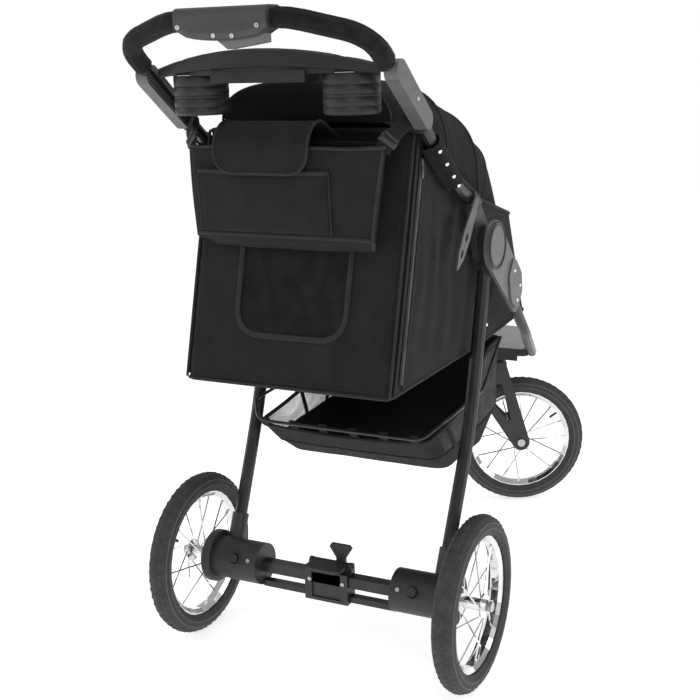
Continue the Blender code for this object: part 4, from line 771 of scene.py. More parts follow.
def cabin():
    low = [
        (CABIN_HALF, 0.1345, CABIN_FLOOR),
        (-CABIN_HALF, 0.1345, CABIN_FLOOR),
        (-CABIN_HALF, -0.250, CABIN_FLOOR),
        (-NOSE_HALF, -0.596, CABIN_FLOOR),
        (NOSE_HALF, -0.596, CABIN_FLOOR),
        (CABIN_HALF, -0.250, CABIN_FLOOR),
    ]
    top_x = 0.1745
    high = [
        (CABIN_HALF, panel_y(PANEL_TOP), PANEL_TOP),
        (-CABIN_HALF, panel_y(PANEL_TOP), PANEL_TOP),
        (-CABIN_HALF, -0.250, 0.806),
        (-top_x, -0.484, 0.746),
        (top_x, -0.484, 0.746),
        (CABIN_HALF, -0.250, 0.806),
    ]
    radii = (0.016, 0.016, 0.15, 0.045, 0.045, 0.15)
    counts = (66, 50, 34, 40, 34, 50)
    lower = rounded_loop(low, radii, counts)
    upper = rounded_loop(high, radii, counts)
    centre = Vector((0, -0.23, CABIN_FLOOR))
    steps = [0.0, 0.006] + [0.02 + 0.98 * i / 52 for i in range(53)]
    net = {}
    rows = []
    for share in (0.30, 0.70, 0.97):
        rows.append([centre + (p - centre) * share for p, _, _ in lower])
    base_rows = len(rows)
    for j, t in enumerate(steps):
        row = []
        for i, ((a, edge, share), (b, _, _)) in enumerate(zip(lower, upper)):
            p = a.lerp(b, t)
            before, after = lower[i - 1][0], lower[(i + 1) % len(lower)][0]
            along = after - before
            out = Vector((along.y, -along.x, 0)).normalized()
            if out.dot(p - centre) < 0:
                out = -out
            belly = math.sin(math.pi * min(1, t * 1.02))
            if edge == 0 and 0 < share:
                mid = math.sin(math.pi * share)
                push = -0.0022 * belly * mid + ruffle(p, 0.09, 0.0012) * belly
                slack = max(0.0, 1 - abs(p.z - 0.60) / 0.05)
                push += slack * 0.0012 * math.sin(p.x * 70)
            elif edge in (1, 5) and share > 0:
                mid = math.sin(math.pi * share) ** 0.6
                fold = math.sin((p.y + 0.22 * (p.z - 0.7)) * math.tau / 0.062 + 2.4 * noise.noise(p / 0.12))
                drape = max(0.0, min(1.0, (0.87 - p.z) / 0.15))
                push = 0.0035 * belly * mid + fold * 0.0032 * belly * mid * drape
                push += ruffle(p, 0.045, 0.0016, 3.0) * belly
            elif edge in (2, 4) and share > 0:
                fold = math.sin(p.z * math.tau / 0.085 + 3.0 * noise.noise(p / 0.10))
                push = (0.0030 + 0.0016 * fold) * belly + ruffle(p, 0.05, 0.0014, 5.0) * belly
            elif edge == 3 and share > 0:
                push = 0.004 * belly * math.sin(math.pi * share) + ruffle(p, 0.06, 0.0016, 7.0) * belly
            else:
                push = 0.0
            if t < 0.003:
                push = -0.003
            row.append(p + out * push)
            if edge == 0 and in_rounded(
                p.x, p.z, -WINDOW["half"], WINDOW["half"], WINDOW["low"], WINDOW["high"], WINDOW["corner"]
            ):
                net[i, j] = 1
            if edge in (1, 5) and in_rounded(
                p.y,
                p.z + 0.30 * p.y,
                SIDE_NET["front"],
                SIDE_NET["rear"],
                SIDE_NET["low"],
                SIDE_NET["high"],
                SIDE_NET["corner"],
            ):
                net[i, j] = 2
        rows.append(row)

    def slot(i, j):
        return net.get((i, j - base_rows), 0)

    weaves = [cloth, window_net, side_net]
    shell = skin("cabin_cloth", rows, weaves, ring=True, inside=(0, -0.23, 0.70), slot=slot)
    closed_below(shell, len(rows[0]), smooth=True)
    walled(shell, 0.0020)
    stands_for(shell, "cabin_shell")

    rim = rounded_loop(high, radii, counts)
    rim_line = spaced([p + Vector((0, 0, 0.0005)) for p, _, _ in rim], 0.012, True)
    parts = [swept("rim_binding", rim_line, binding, 0.0034, closed=True, sides=8)]
    hem = spaced([p + Vector((0, 0, 0.004)) for p, _, _ in lower], 0.012, True)
    parts.append(swept("floor_piping", hem, binding, 0.0026, closed=True, sides=8))
    out_y = 0.0018
    window = rounded_loop(
        [
            (WINDOW["half"], 0, WINDOW["high"]),
            (WINDOW["half"], 0, WINDOW["low"]),
            (-WINDOW["half"], 0, WINDOW["low"]),
            (-WINDOW["half"], 0, WINDOW["high"]),
        ],
        (0, WINDOW["corner"], WINDOW["corner"], 0),
        (12, 14, 12, 1),
        8,
        closed=False,
    )
    line = spaced([(p.x, panel_y(p.z) + out_y - 0.0012, p.z) for p, _, _ in window], 0.006)
    normal = Vector((0, 1, PANEL_LEAN)).normalized()
    parts.append(swept("window_binding", line, binding, 0.0095, 0.0022, normal, sides=10))
    seams = [[(p + normal * 0.0013, normal) for p in line]]
    for side in (1, -1):
        corner = [
            (side * (CABIN_HALF - 0.0008), panel_y(z) - 0.001, z)
            for z in [CABIN_FLOOR + 0.006 + 0.403 * i / 30 for i in range(31)]
        ]
        parts.append(swept("corner_piping", corner, binding, 0.0024, sides=8))
        inner = [
            (Vector((side * (CABIN_HALF - 0.011), panel_y(z) + 0.0004, z)), normal)
            for z in [CABIN_FLOOR + 0.012 + 0.36 * i / 20 for i in range(21)]
        ]
        seams.append(inner)
        out = Vector((side, 0, 0))
        for back, width, height in ((0.013, 0.010, 0.0020), (ZIP_SETBACK + 0.012, 0.011, 0.0018)):
            band = [
                (side * (CABIN_HALF + 0.0022 + 0.0015 * math.sin(math.pi * i / 24)), panel_y(z) - back, z)
                for i, z in ((i, CABIN_FLOOR + 0.008 + 0.385 * i / 24) for i in range(25))
            ]
            parts.append(swept("side_band", band, cloth, width, height, out, sides=10))
            for lift in (-0.35, 0.35):
                seams.append([(Vector(p) + Vector((side * 0.0010, lift * width, 0)), out) for p in band])
    hem_z, hem_half = 0.5465, CABIN_HALF - 0.02
    seams.append(
        [
            (Vector((-hem_half + 2 * hem_half * i / 30, panel_y(hem_z) + 0.0006, hem_z)), normal)
            for i in range(31)
        ]
    )
    gathered("cabin_bindings", parts)
    sewn("cabin_stitching", seams)


def zips():
    """The long side zips with their tapes, sliders and pulls."""
    tapes, runs, metal = [], [], []
    for side in (1, -1):
        out = Vector((side, 0, 0))
        line = [
            Vector((side * (CABIN_HALF + 0.0040), panel_y(z) - ZIP_SETBACK + 0.004, z))
            for z in [CABIN_FLOOR + 0.020 + 0.345 * i / 26 for i in range(27)]
        ]
        tapes.append(swept("zip_tape", line, binding, 0.0150, 0.0012, out, sides=10))
        runs.append([(p + out * 0.0010, out) for p in line])
        top = line[-1] + out * 0.0022
        along = (line[-1] - line[-2]).normalized()
        slider = [top - along * s for s in (0.0, 0.003, 0.008, 0.012)]
        metal.append(swept("zip_slider", slider, zip_metal, 0.0075, 0.0034, out, sides=12))
        pull = [top + out * 0.0016 - along * s for s in (0.004, 0.012, 0.020, 0.028, 0.031)]
        metal.append(swept("zip_pull", pull, zip_metal, 0.0058, 0.0014, out, sides=12))
    gathered("zip_tapes", tapes)
    teeth = repeated("zip_teeth", zip_teeth, runs, pitch=0.0024)
    gathered("zip_hardware", [teeth] + metal, "chassis")


# ---------------------------------------------------------------- hood and canopy


def arch_row(half, bottom, top, y, count=48, power=3.2):
    row = []
    for i in range(count + 1):
        angle = math.pi * i / count
        across, up = math.cos(angle), math.sin(angle)
        x = math.copysign(abs(across) ** (2 / power), across) * half
        row.append(Vector((x, y, bottom + (top - bottom) * abs(up) ** (2 / power))))
    return row


def hood_half(y):
    """Half width of the hood, which draws in towards its back."""
    share = max(0.0, min(1.0, (y + 0.085) / 0.125))
    return HOOD_HALF - 0.040 * share * share


def hood_power(y):
    """How square the hood's arch is: rounder at its back."""
    return 3.2 - 0.5 * max(0.0, min(1.0, (y + 0.085) / 0.125))


def hood():
    """The rear part of the canopy: cloth over three bows, closed at the back."""
    keys = [Vector(k) for k in ((0.040, 0.957, 1.020), (-0.020, 0.930, 1.025), (-0.085, 0.895, 1.021))]
    keys += [Vector(k) for k in ((-0.174, 0.850, 1.003), (-0.262, 0.809, 0.970))]
    line = through(keys, 0.0075)
    bows = (0.030, -0.112, -0.255)
    rows = []
    first = arch_row(hood_half(0.04) - 0.003, line[0].y, line[0].z - 0.003, 0.0395, power=2.7)
    middle = Vector((0, 0.0385, line[0].y))
    for share in (0.08, 0.35, 0.65, 0.9, 0.985):
        rows.append(
            [
                middle
                + (p - middle) * share
                - Vector((0, 0.006 * math.sin(math.pi * share) + ruffle(p * share, 0.05, 0.004), 0))
                for p in first
            ]
        )
    for y, low, high in line:
        gap = min(abs(y - b) for b in bows)
        sag = 0.0045 * min(1.0, gap / 0.055) ** 1.5
        row = arch_row(hood_half(y), low, high, y, power=hood_power(y))
        middle = Vector((0, y, low))
        for i, p in enumerate(row):
            share = math.sin(math.pi * i / (len(row) - 1))
            inward = (middle - p).normalized()
            row[i] = p + inward * (sag * (0.35 + 0.65 * share) + ruffle(p, 0.04, 0.0016, 9.0) * share)
        rows.append(row)
    shell = skin("hood_cloth", rows, cloth_soft, inside=(0, -0.10, 0.90))
    walled(shell, 0.0020)
    stands_for(shell, "canopy_hood")
    parts, seams = [], []
    for y in bows:
        near = min(line, key=lambda k: abs(k[0] - y))
        row = arch_row(hood_half(y) + 0.0010, near[1], near[2] + 0.0010, near[0], power=hood_power(y))
        edge = spaced(row, 0.008)
        parts.append(swept("bow_piping", edge, binding, PIPING, sides=8))
        half, top = hood_half(y) - 0.0004, near[2] - 0.0004
        lift = arch_row(half, near[1], top, near[0] - 0.009, power=hood_power(y))
        outs = [(p - Vector((0, p.y, near[1]))).normalized() for p in lift]
        if y < 0.0:
            seams.append(list(zip(lift, outs)))
    for side in (1, -1):
        edge = [(side * (hood_half(y) + 0.0006), y, low + 0.0015) for y, low, _ in line]
        parts.append(swept("hood_hem", edge, binding, 0.0026, sides=8))
    gathered("hood_piping", parts)
    sewn("hood_stitching", seams)


def canopy_half(reach_y):
    share = max(0.0, (-0.250 - reach_y) / 0.346)
    return min(0.190 - 0.022 * share - 0.004, 0.185) - 0.0030


def canopy_row(angle, radius, low=0.62, count=48, drop=0.0):
    """One arch of the front canopy at this angle about its pivot."""
    out = (math.cos(angle), math.sin(angle))
    half = canopy_half(CANOPY_PIVOT[0] + radius * out[0])
    row = []
    for p in arch_row(half, low * 0.388, radius, 0.0, count):
        reach = p.z - drop * max(0.0, (p.z - low * 0.388) / (radius - low * 0.388))
        row.append(Vector((p.x, CANOPY_PIVOT[0] + out[0] * reach, CANOPY_PIVOT[1] + out[1] * reach)))
    return row


def fullness(angle):
    """How far the cloth stands out past its bows' own circle at this angle."""
    share = (angle - math.radians(110)) / math.radians(43)
    return 0.015 * math.sin(math.pi * max(0.0, min(1.0, share))) ** 0.8


def canopy():
    """The front canopy: one cloth over three bows that turns back under the hood."""
    start, end = math.radians(101), math.radians(153)
    bows = (start + 0.02, math.radians(127), end - 0.01)
    rows = []
    for i in range(37):
        angle = start + (end - start) * i / 36
        gap = min(abs(angle - b) for b in bows)
        row = canopy_row(angle, 0.388 + fullness(angle), drop=0.006 * min(1.0, gap / 0.16) ** 1.5)
        for k, p in enumerate(row):
            row[k] = p + Vector((0, 0, ruffle(p, 0.045, 0.0022, 11.0) * math.sin(math.pi * k / 48)))
        rows.append(row)
    shell = skin("canopy_cloth", rows, cloth_soft, inside=(0, -0.20, 0.70))
    walled(shell, 0.0020)
    stands_for(shell, "canopy_front", "canopy")
    parts, seams = [], []
    for angle in bows:
        row = canopy_row(angle, 0.3888 + fullness(angle))
        parts.append(swept("bow_piping", spaced(row, 0.008), binding, PIPING, sides=8))
        beside = canopy_row(angle - 0.022 if angle > 2 else angle + 0.022, 0.388 + fullness(angle))
        middle = Vector((0, *CANOPY_PIVOT))
        seams.append([(p, (p - middle)) for p in beside])
    for side in (1, -1):
        edge = [rows[i][0 if side > 0 else -1] for i in range(37)]
        parts.append(swept("canopy_hem", edge, binding, 0.0026, sides=8))
        foot = Vector((side * (canopy_half(-0.5) - 0.002), *CANOPY_PIVOT))
        for angle in (start + 0.05, end - 0.05):
            top = canopy_row(angle, 0.388)[0 if side > 0 else -1]
            parts.append(swept("bow_arm", [foot, foot.lerp(top, 0.5), top], black_plastic, 0.0034, sides=8))
    piping = gathered("canopy_piping", parts, "canopy")
    for piece in (shell, piping, sewn("canopy_stitching", seams, "canopy")):
        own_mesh(piece)


# ---------------------------------------------------------------- bag


def bag_face(z):
    """How far back the bag's face stands at this height."""
    t = (z - BAG_LOW) / (BAG_TOP - BAG_LOW)
    return BAG_FACE - 0.004 * (1 - t) + 0.0030 * math.sin(math.pi * max(0, min(1, t)))


def bag():
    """The organiser bag: an open sewn shell that sags a little, with its welted seams."""
    columns = (52, 14, 52, 14)
    rows = []
    for i in range(25):
        t = i / 24
        right, left = -0.161 - 0.024 * t, BAG_HALF - 0.003 * (1 - t)
        right_back, left_back = -0.142 - 0.004 * t, 0.152
        z_face = BAG_LOW + (BAG_TOP - BAG_LOW) * t
        z_back = 0.760 + (0.925 - 0.760) * t
        y_back = panel_y(z_back) + 0.0028
        y_face = bag_face(z_face)
        corners = [(x, y_face, z_face) for x in (left, right)]
        corners += [(x, y_back, z_back) for x in (right_back, left_back)]
        row = []
        for p, edge, share in rounded_loop(corners, (0.014, 0.014, 0.004, 0.004), columns, 5):
            rim = max(0.0, t - 0.75) / 0.25
            if edge == 0:
                wave = math.sin(math.pi * max(0.0, share))
                dip = -0.0035 * wave * rim - 0.0022 * math.sin(p.x * 38 + 1.0) * rim * wave
                p = p + Vector((0, ruffle(p, 0.05, 0.0022, 13.0) * wave, dip))
            elif edge in (1, 3):
                wave = math.sin(math.pi * max(0.0, share))
                tuck = -0.006 * wave * (0.4 + 0.6 * t)
                p = p + Vector((math.copysign(1, p.x) * tuck, 0, -0.006 * wave * rim))
            row.append(p)
        rows.append(row)
    under = []
    lowest = rows[0]
    middle = sum(lowest, Vector()) / len(lowest)
    for share in (0.05, 0.5, 0.85, 0.97):
        drop = 0.010 * math.cos(share * math.pi / 2)
        under.append([middle + (p - middle) * share - Vector((0, 0, drop)) for p in lowest])
    shell = skin("bag_cloth", under + rows, cloth, ring=True, inside=(0, 0.08, 0.86))
    walled(shell, 0.0020)
    stands_for(shell, "organiser_bag")
    backwards = Vector((0, 1, 0.03))
    rim = spaced(rows[-1], 0.006, True)
    parts = [swept("bag_rim", rim, binding, 0.0026, closed=True, sides=8)]
    half = len(rows[0]) // 2
    lower_edge = rows[0][: half - 2]
    parts.append(swept("bag_lower_piping", spaced(lower_edge, 0.006), binding, 0.0030, sides=8))
    for corner in (2, 5 + 51 + 4):
        edge = [row[corner] + Vector((0, 0.0008, 0)) for row in rows]
        parts.append(swept("bag_corner_piping", edge, binding, 0.0018, sides=8))
    hem = rows[-3][6 : half - 8]
    seams = [[(p + Vector((0, 0.0006, 0)), backwards) for p in hem]]
    gathered("bag_piping", parts)
    sewn("bag_stitching", seams)


def pocket():
    """The wide slip pocket on the bag's face, hemmed along its top."""
    left, right, low, high = 0.147, -0.091, 0.790, 0.886
    rows = []
    for j in range(19):
        v = j / 18
        row = []
        for i in range(45):
            u = i / 44
            x, z = left + (right - left) * u, low + (high - low) * v
            puff = (math.sin(math.pi * u) ** 0.5) * (math.sin(math.pi * (0.04 + 0.80 * v)) ** 0.7)
            gap = 0.0014 + 0.0048 * puff + ruffle((x, 0, z), 0.05, 0.0018, 17.0) * puff
            row.append(Vector((x, bag_face(z) + gap, z - 0.0012 * math.sin(math.pi * u) * v)))
        rows.append(row)
    sheet = skin("slip_pocket_cloth", rows, cloth, inside=(0.03, 0.0, 0.84))
    walled(sheet, 0.0016)
    stands_for(sheet, "slip_pocket")
    out = Vector((0, 1, 0.03))
    top = [p + Vector((0, 0.0008, 0.0004)) for p in rows[-1]]
    parts = [swept("pocket_hem", top, binding, 0.0062, 0.0022, out, sides=10)]
    for edge in ([row[0] for row in rows], [row[-1] for row in rows]):
        line = [p + Vector((0, 0.0004, 0)) for p in edge]
        parts.append(swept("pocket_edge", line, binding, 0.0013, sides=6))
    gathered("pocket_binding", parts)
    seams = [
        [(row[i] + Vector((0, 0.0005, 0)), out) for row in rows] for i in (2, 42)
    ] + [[(p + Vector((0, 0.0006, 0)), out) for p in rows[16]]]
    sewn("pocket_stitching", seams)


def flap():
    """The rounded lid over the bag's mouth, bound round its edge."""
    middle, half, corner = 0.0265, 0.0845, 0.034
    fall = through(
        [
            (0, panel_y(0.940) + 0.0060, 0.9360),
            (0, 0.0500, 0.9460),
            (0, 0.0720, 0.9580),
            (0, 0.0900, 0.9630),
            (0, 0.1100, 0.9580),
            (0, 0.1260, 0.9420),
            (0, 0.1335, 0.9220),
            (0, 0.1352, 0.8840),
        ],
        0.0022,
    )
    total = len(fall)
    run = [0.0]
    for a, b in zip(fall, fall[1:]):
        run.append(run[-1] + (b - a).length)
    rows = []
    for j, p in enumerate(fall):
        left = run[-1] - run[j]
        past = max(0.0, corner - left)
        inset = corner - math.sqrt(max(0.0, corner**2 - past**2))
        wide = half - inset * 0.96
        row = []
        for i in range(31):
            u = 2 * i / 30 - 1
            x = middle - u * wide
            lift = 0.0016 * (1 - u * u) * min(1.0, j / total * 2)
            ripple = ruffle((x, p.y, p.z), 0.045, 0.0022, 19.0)
            row.append(Vector((x, p.y + lift + ripple * 0.6, p.z + lift * 0.4)))
        rows.append(row)
    sheet = skin("bag_flap_cloth", rows, cloth, inside=(0.026, 0.04, 0.88))
    walled(sheet, 0.0022)
    stands_for(sheet, "bag_flap")
    edge = [row[0] for row in rows] + list(rows[-1][1:-1]) + [row[-1] for row in rows[::-1]]
    edge = spaced(edge, 0.0035)
    bound = swept("flap_piping", edge, binding, 0.0025, sides=8)
    gathered("flap_piping", [bound])
    inner = [row[3] for row in rows]
    across = rows[-4][4:-4]
    back = [row[-4] for row in rows[::-1]]
    out_line = inner[:-4] + list(across) + back[4:]
    line = []
    for p in out_line:
        out = Vector((0, 0.35, 1)) if p.z > 0.930 else Vector((0, 1, 0.1))
        line.append((p + out.normalized() * 0.0005, out))
    sewn("flap_stitching", [line])


def straps():
    """Webbing straps from the bag's corners to the handle tubes, each parting at its buckle."""
    belts, hard, turns, tongues, runs = [], [], [], [], []
    for side, start in ((1, 0.1620), (-1, 0.1760)):
        line = through(
            [
                (side * start, 0.1150, 0.9190),
                (side * (start + 0.004), 0.1060, 0.9320),
                (side * 0.1880, 0.0840, 0.9480),
                (side * 0.1960, 0.0660, 0.9630),
                (side * 0.2020, 0.0600, 0.9700),
            ],
            0.006,
        )
        facing = Vector((side * 0.55, 0.75, 0.35)).normalized()
        belts.append(swept("bag_strap", line[:5], webbing, 0.024, 0.0018, facing, sides=12))
        turns.append(swept("tube_strap", line[4:], webbing, 0.024, 0.0018, facing, sides=12))
        tube_along = Vector((0, 0.789, 0.614)).normalized()
        middle = Vector((side * 0.2100, 0.0475, 0.9580))
        for k in (-0.006, 0.006):
            ring = []
            for i in range(20):
                angle = math.tau * i / 20
                across = Vector((1, 0, 0))
                a = across * math.cos(angle) + tube_along.cross(across) * math.sin(angle)
                ring.append(middle + tube_along * k + a * 0.0132)
            turns.append(swept("strap_turn", ring, webbing, 0.0120, 0.0016, [p - middle for p in ring], True))
        buckle = [line[2] + facing * 0.0022, line[3] + facing * 0.0024, line[4] + facing * 0.0024]
        hard.append(swept("strap_buckle", buckle, black_plastic, 0.030, 0.0052, facing, sides=12))
        buckle = [line[4] + facing * 0.0046, line[5] + facing * 0.0050]
        tongues.append(swept("buckle_tongue", buckle, black_plastic, 0.026, 0.0030, facing, sides=12))
        for across in (-0.35, 0.35):
            cross = (line[7] - line[6]).normalized().cross(facing)
            runs.append([(p + facing * 0.0010 + cross * across * 0.024, facing) for p in line[6:]])
    gathered("bag_straps", belts)
    gathered("strap_buckles", hard, "chassis")
    gathered("strap_turns", turns, "handle_frame")
    gathered("buckle_tongues", tongues, "handle_frame")
    sewn("strap_stitching", runs, "handle_frame")


# ---------------------------------------------------------------- basket


def basket():
    """The under-basket: dark cloth floor and ends, see-through sides, sagging between its corners."""
    low = [
        (BASKET_HALF - 0.010, -0.158, 0.3235),
        (-BASKET_HALF + 0.010, -0.158, 0.3235),
        (-BASKET_HALF + 0.010, -0.352, 0.3235),
        (BASKET_HALF - 0.010, -0.352, 0.3235),
    ]
    mid = [
        (BASKET_HALF - 0.002, -0.098, 0.366),
        (-BASKET_HALF + 0.002, -0.098, 0.366),
        (-BASKET_HALF + 0.002, -0.422, 0.384),
        (BASKET_HALF - 0.002, -0.422, 0.384),
    ]
    radii, counts = (0.030, 0.030, 0.022, 0.022), (44, 34, 44, 34)

    def rim_height(y):
        spots = [(-0.056, 0.402), (-0.232, 0.431), (-0.345, 0.509), (-0.430, 0.514)]
        for (a, za), (b, zb) in zip(spots, spots[1:]):
            if y >= b:
                share = max(0.0, min(1.0, (a - y) / (a - b)))
                return za + (zb - za) * share
        return spots[-1][1]

    top = [
        (BASKET_HALF, -0.057, 0.402),
        (-BASKET_HALF, -0.057, 0.402),
        (-BASKET_HALF, -0.425, 0.402),
        (BASKET_HALF, -0.425, 0.402),
    ]
    loops = [rounded_loop(c, radii, counts, 5) for c in (low, mid, top)]
    middle = Vector((0, -0.255, 0.3235))
    rows = []
    for share in (0.06, 0.4, 0.75, 0.95):
        sag = 0.012 * math.cos(share * math.pi / 2)
        rows.append([middle + (p - middle) * share - Vector((0, 0, sag)) for p, _, _ in loops[0]])
    floor_rows = len(rows)
    net = {}
    steps = 22
    for j in range(steps + 1):
        t = j / steps
        row = []
        for i, ((a, edge, share), (b, _, _), (c, _, _)) in enumerate(zip(*loops)):
            if t < 0.45:
                p = a.lerp(b, t / 0.45)
            else:
                goal = Vector((c.x, c.y, rim_height(c.y)))
                p = b.lerp(goal, (t - 0.45) / 0.55)
            wave = math.sin(math.pi * max(0.0, share))
            out = Vector((p.x, 0, 0)) if edge in (1, 3) else Vector((0, 1 if edge == 0 else -1, 0))
            out = out.normalized() if out.length else Vector((0, 1, 0))
            puff = 0.0050 * math.sin(math.pi * t) * wave + ruffle(p, 0.06, 0.0030, 23.0) * wave
            dip = -0.0060 * wave * max(0.0, t - 0.6) / 0.4 if edge in (0, 1, 3) else 0.0
            row.append(p + out * puff + Vector((0, 0, dip)))
            if edge in (1, 3) and 0.02 < share and 0.40 < t < 0.92:
                net[i, j] = 1
        rows.append(row)

    def slot(i, j):
        return net.get((i, j - floor_rows), 0)

    weaves = [basket_cloth, basket_net]
    shell = skin("basket_cloth", rows, weaves, ring=True, inside=(0, -0.25, 0.42), slot=slot)
    closed_below(shell, len(rows[0]), smooth=False)
    walled(shell, 0.0018)
    stands_for(shell, "basket")
    rim = spaced(rows[-1], 0.008, True)
    parts = [swept("basket_rim", rim, binding, 0.0034, closed=True, sides=8)]
    band = spaced(rows[floor_rows + 8], 0.010, True)
    parts.append(swept("basket_seam", band, basket_cloth, 0.0022, closed=True, sides=6))
    for share in (0.30, 0.62):
        for side_start in (44 + 6, 44 + 6 + 34 + 6 + 44 + 6):
            column = round(side_start + 34 * share)
            rib = [row[column % len(row)] for row in rows[floor_rows + 8 :]]
            outs = [Vector((p.x, 0, 0)).normalized() for p in rib]
            rib = [p + out * 0.0006 for p, out in zip(rib, outs)]
            parts.append(swept("basket_rib", rib, basket_cloth, 0.012, 0.0024, outs, sides=10))
    gathered("basket_bindings", parts)
    loops_on = []
    for x in (0.15, 0.09, 0.03, -0.03, -0.09, -0.15):
        line = through(
            [
                (x, -0.058, 0.4015),
                (x, -0.051, 0.4060),
                (x, -0.0460, 0.4172),
                (x, -0.0490, 0.4200),
                (x, -0.057, 0.4070),
            ],
            0.003,
        )
        loops_on.append(swept("basket_loop", line, webbing, 0.016, 0.0012, (0, 0.3, 1), sides=10))
    gathered("basket_loops", loops_on)


# ---------------------------------------------------------------- pad


def base_pad():
    """The padded mat on the cabin floor, swelled as a cushion and then quilted."""
    half, nose, rear, taper, front = 0.176, 0.156, 0.104, -0.250, -0.552
    low, high = 0.5405, 0.5545
    outline = [(half, rear), (-half, rear), (-half, taper), (-nose, front), (nose, front), (half, taper)]
    loop = rounded_loop([(x, y, 0) for x, y in outline], (0.02, 0.02, 0.1, 0.04, 0.04, 0.1), (20,) * 6, 5)
    middle = Vector((0, -0.22, 0))
    rows = []
    lower = [(low, 0.05), (low, 0.97), (low + 0.003, 1.0)]
    for z, share in lower + [(high - 0.003, 1.0), (high, 0.97), (high, 0.05)]:
        ring = []
        for p, _, _ in loop:
            q = middle + (p - middle) * share
            ring.append(Vector((q.x, q.y, z)))
        rows.append(ring)
    pad = skin("base_pad", rows, pad_cloth, ring=True, ends=True)
    pad = finished(pad, ("REMESH", {"mode": "VOXEL", "voxel_size": 0.0055}))
    still = [corner.co.copy() for corner in pad.data.vertices]
    air = pad.modifiers.new("air", "CLOTH")
    air.settings.use_pressure = True
    air.settings.uniform_pressure_force = 4.0
    air.settings.effector_weights.gravity = 0.0
    scene.frame_start, scene.frame_end = 1, PAD_FRAMES
    air.point_cache.frame_end = PAD_FRAMES
    for count in range(1, PAD_FRAMES + 1):
        scene.frame_set(count)
    finished(pad)
    cap = 0.008
    for corner, home in zip(pad.data.vertices, still):
        move = corner.co - home
        if move.length > cap:
            move *= cap / move.length
        corner.co = home + move
    scene.frame_set(1)
    for corner in pad.data.vertices:
        x, y, z = corner.co.x, corner.co.y - AXLE_Y, corner.co.z
        if z > (low + high) / 2:
            channel = min(abs(abs(x) - 0.060), abs((y + 0.46) % 0.120 - 0.06))
            z -= 0.0042 * math.exp(-((channel / 0.0065) ** 2))
        limit = 0.1835 - 0.022 * max(0.0, (-0.250 - y) / 0.346)
        x = max(-limit, min(limit, x))
        corner.co = (x, max(-0.562, min(0.116, y)) + AXLE_Y, max(low - 0.0008, z))
    pad = finished(pad, ("SUBSURF", {"levels": 1, "render_levels": 1}))
    mesh = pad.data
    while mesh.uv_layers:
        mesh.uv_layers.remove(mesh.uv_layers[0])
    flat = mesh.uv_layers.new(name="flat").data
    for loop in mesh.loops:
        corner = mesh.vertices[loop.vertex_index].co
        flat[loop.index].uv = (corner.x, corner.y)
    mesh.polygons.foreach_set("use_smooth", [True] * len(mesh.polygons))
    stands_for(pad, "base_board", "chassis")


# ---------------------------------------------------------------- hard details


def wheels():
    """Tread blocks, spoke nipples and an air valve on each wheel."""
    for name, tyre, body, turn in (
        ("rear_left", "rear_L_tyre", "rear_wheel_L", 0.0),
        ("rear_right", "rear_R_tyre", "rear_wheel_R", 0.0),
        ("front", "front_tyre", "front_wheel_body", math.radians(116.5)),
    ):
        hub = hub_of(tyre) - Vector((0, AXLE_Y, 0))
        axle = Vector((math.cos(turn), math.sin(turn), 0))
        level = Vector((-math.sin(turn), math.cos(turn), 0))

        def rim_point(angle, radius, across=0.0):
            out = level * math.cos(angle) + Vector((0, 0, 1)) * math.sin(angle)
            return hub + out * radius + axle * across, out

        tread = repeat_tree(f"{name}_tread", lug_shape, TYRES[tyre], False)
        lugs = []
        for k in range(TREAD_ROWS):
            for across, radius, shift in ((-0.0088, 0.1495, 0.0), (0.0088, 0.1495, 0.0), (0.0, 0.1520, 0.5)):
                point, out = rim_point(math.tau * (k + shift) / TREAD_ROWS, radius - 0.0010)
                lean = out + axle * (across * 34)
                lugs.append((point + axle * across, lean))
        blocks = repeated(f"{name}_tread", tread, [lugs], joined=False)
        gathered(f"{name}_tread_blocks", [blocks], body)
        spots = []
        for k in range(SPOKES):
            point, out = rim_point(math.tau * k / SPOKES, 0.1078, 0.0045 if k % 2 else -0.0045)
            spots.append((point, -out))
        caps = repeated(f"{name}_nipples", nipples, [spots], joined=False)
        stem = [rim_point(0.6, 0.108 - 0.004 * i)[0] for i in range(6)]
        valve = swept("valve_stem", stem, black_plastic, 0.0028, sides=10)
        gathered(f"{name}_wheel_fittings", [caps, valve], body)


def ring_line(centre, radius, count=40):
    return [
        centre + Vector((math.cos(math.tau * k / count) * radius, math.sin(math.tau * k / count) * radius, 0))
        for k in range(count)
    ]


def cups():
    """The two cup holders, turned smooth, with moulded grip grooves."""
    outer = [(0.0385, 0.9750), (0.0425, 0.9762), (0.0435, 0.9800)]
    for z in (0.9880, 1.0020, 1.0060, 1.0200):
        outer += [(0.0435, z - 0.0010), (0.0428, z - 0.0004), (0.0428, z + 0.0004), (0.0435, z + 0.0010)]
    outer += [(0.0435, 1.0350), (0.0430, 1.0356), (0.0412, 1.0356), (0.0410, 1.0350)]
    outer += [(0.0410, 0.9815), (0.0400, 0.9788), (0.0375, 0.9778), (0.0008, 0.9776)]
    outer.insert(0, (0.0008, 0.9750))
    for side, letter in ((1, "L"), (-1, "R")):
        middle = Vector((side * 0.133, 0.124, 0))
        rows = [ring_line(middle + Vector((0, 0, z)), radius, 72) for radius, z in outer]
        cup = skin(f"cup_{letter}", rows, tray_plastic, ring=True, ends=True)
        cleaned(cup)
        stands_for(cup, f"cup_holder_{letter}", "handle_frame")


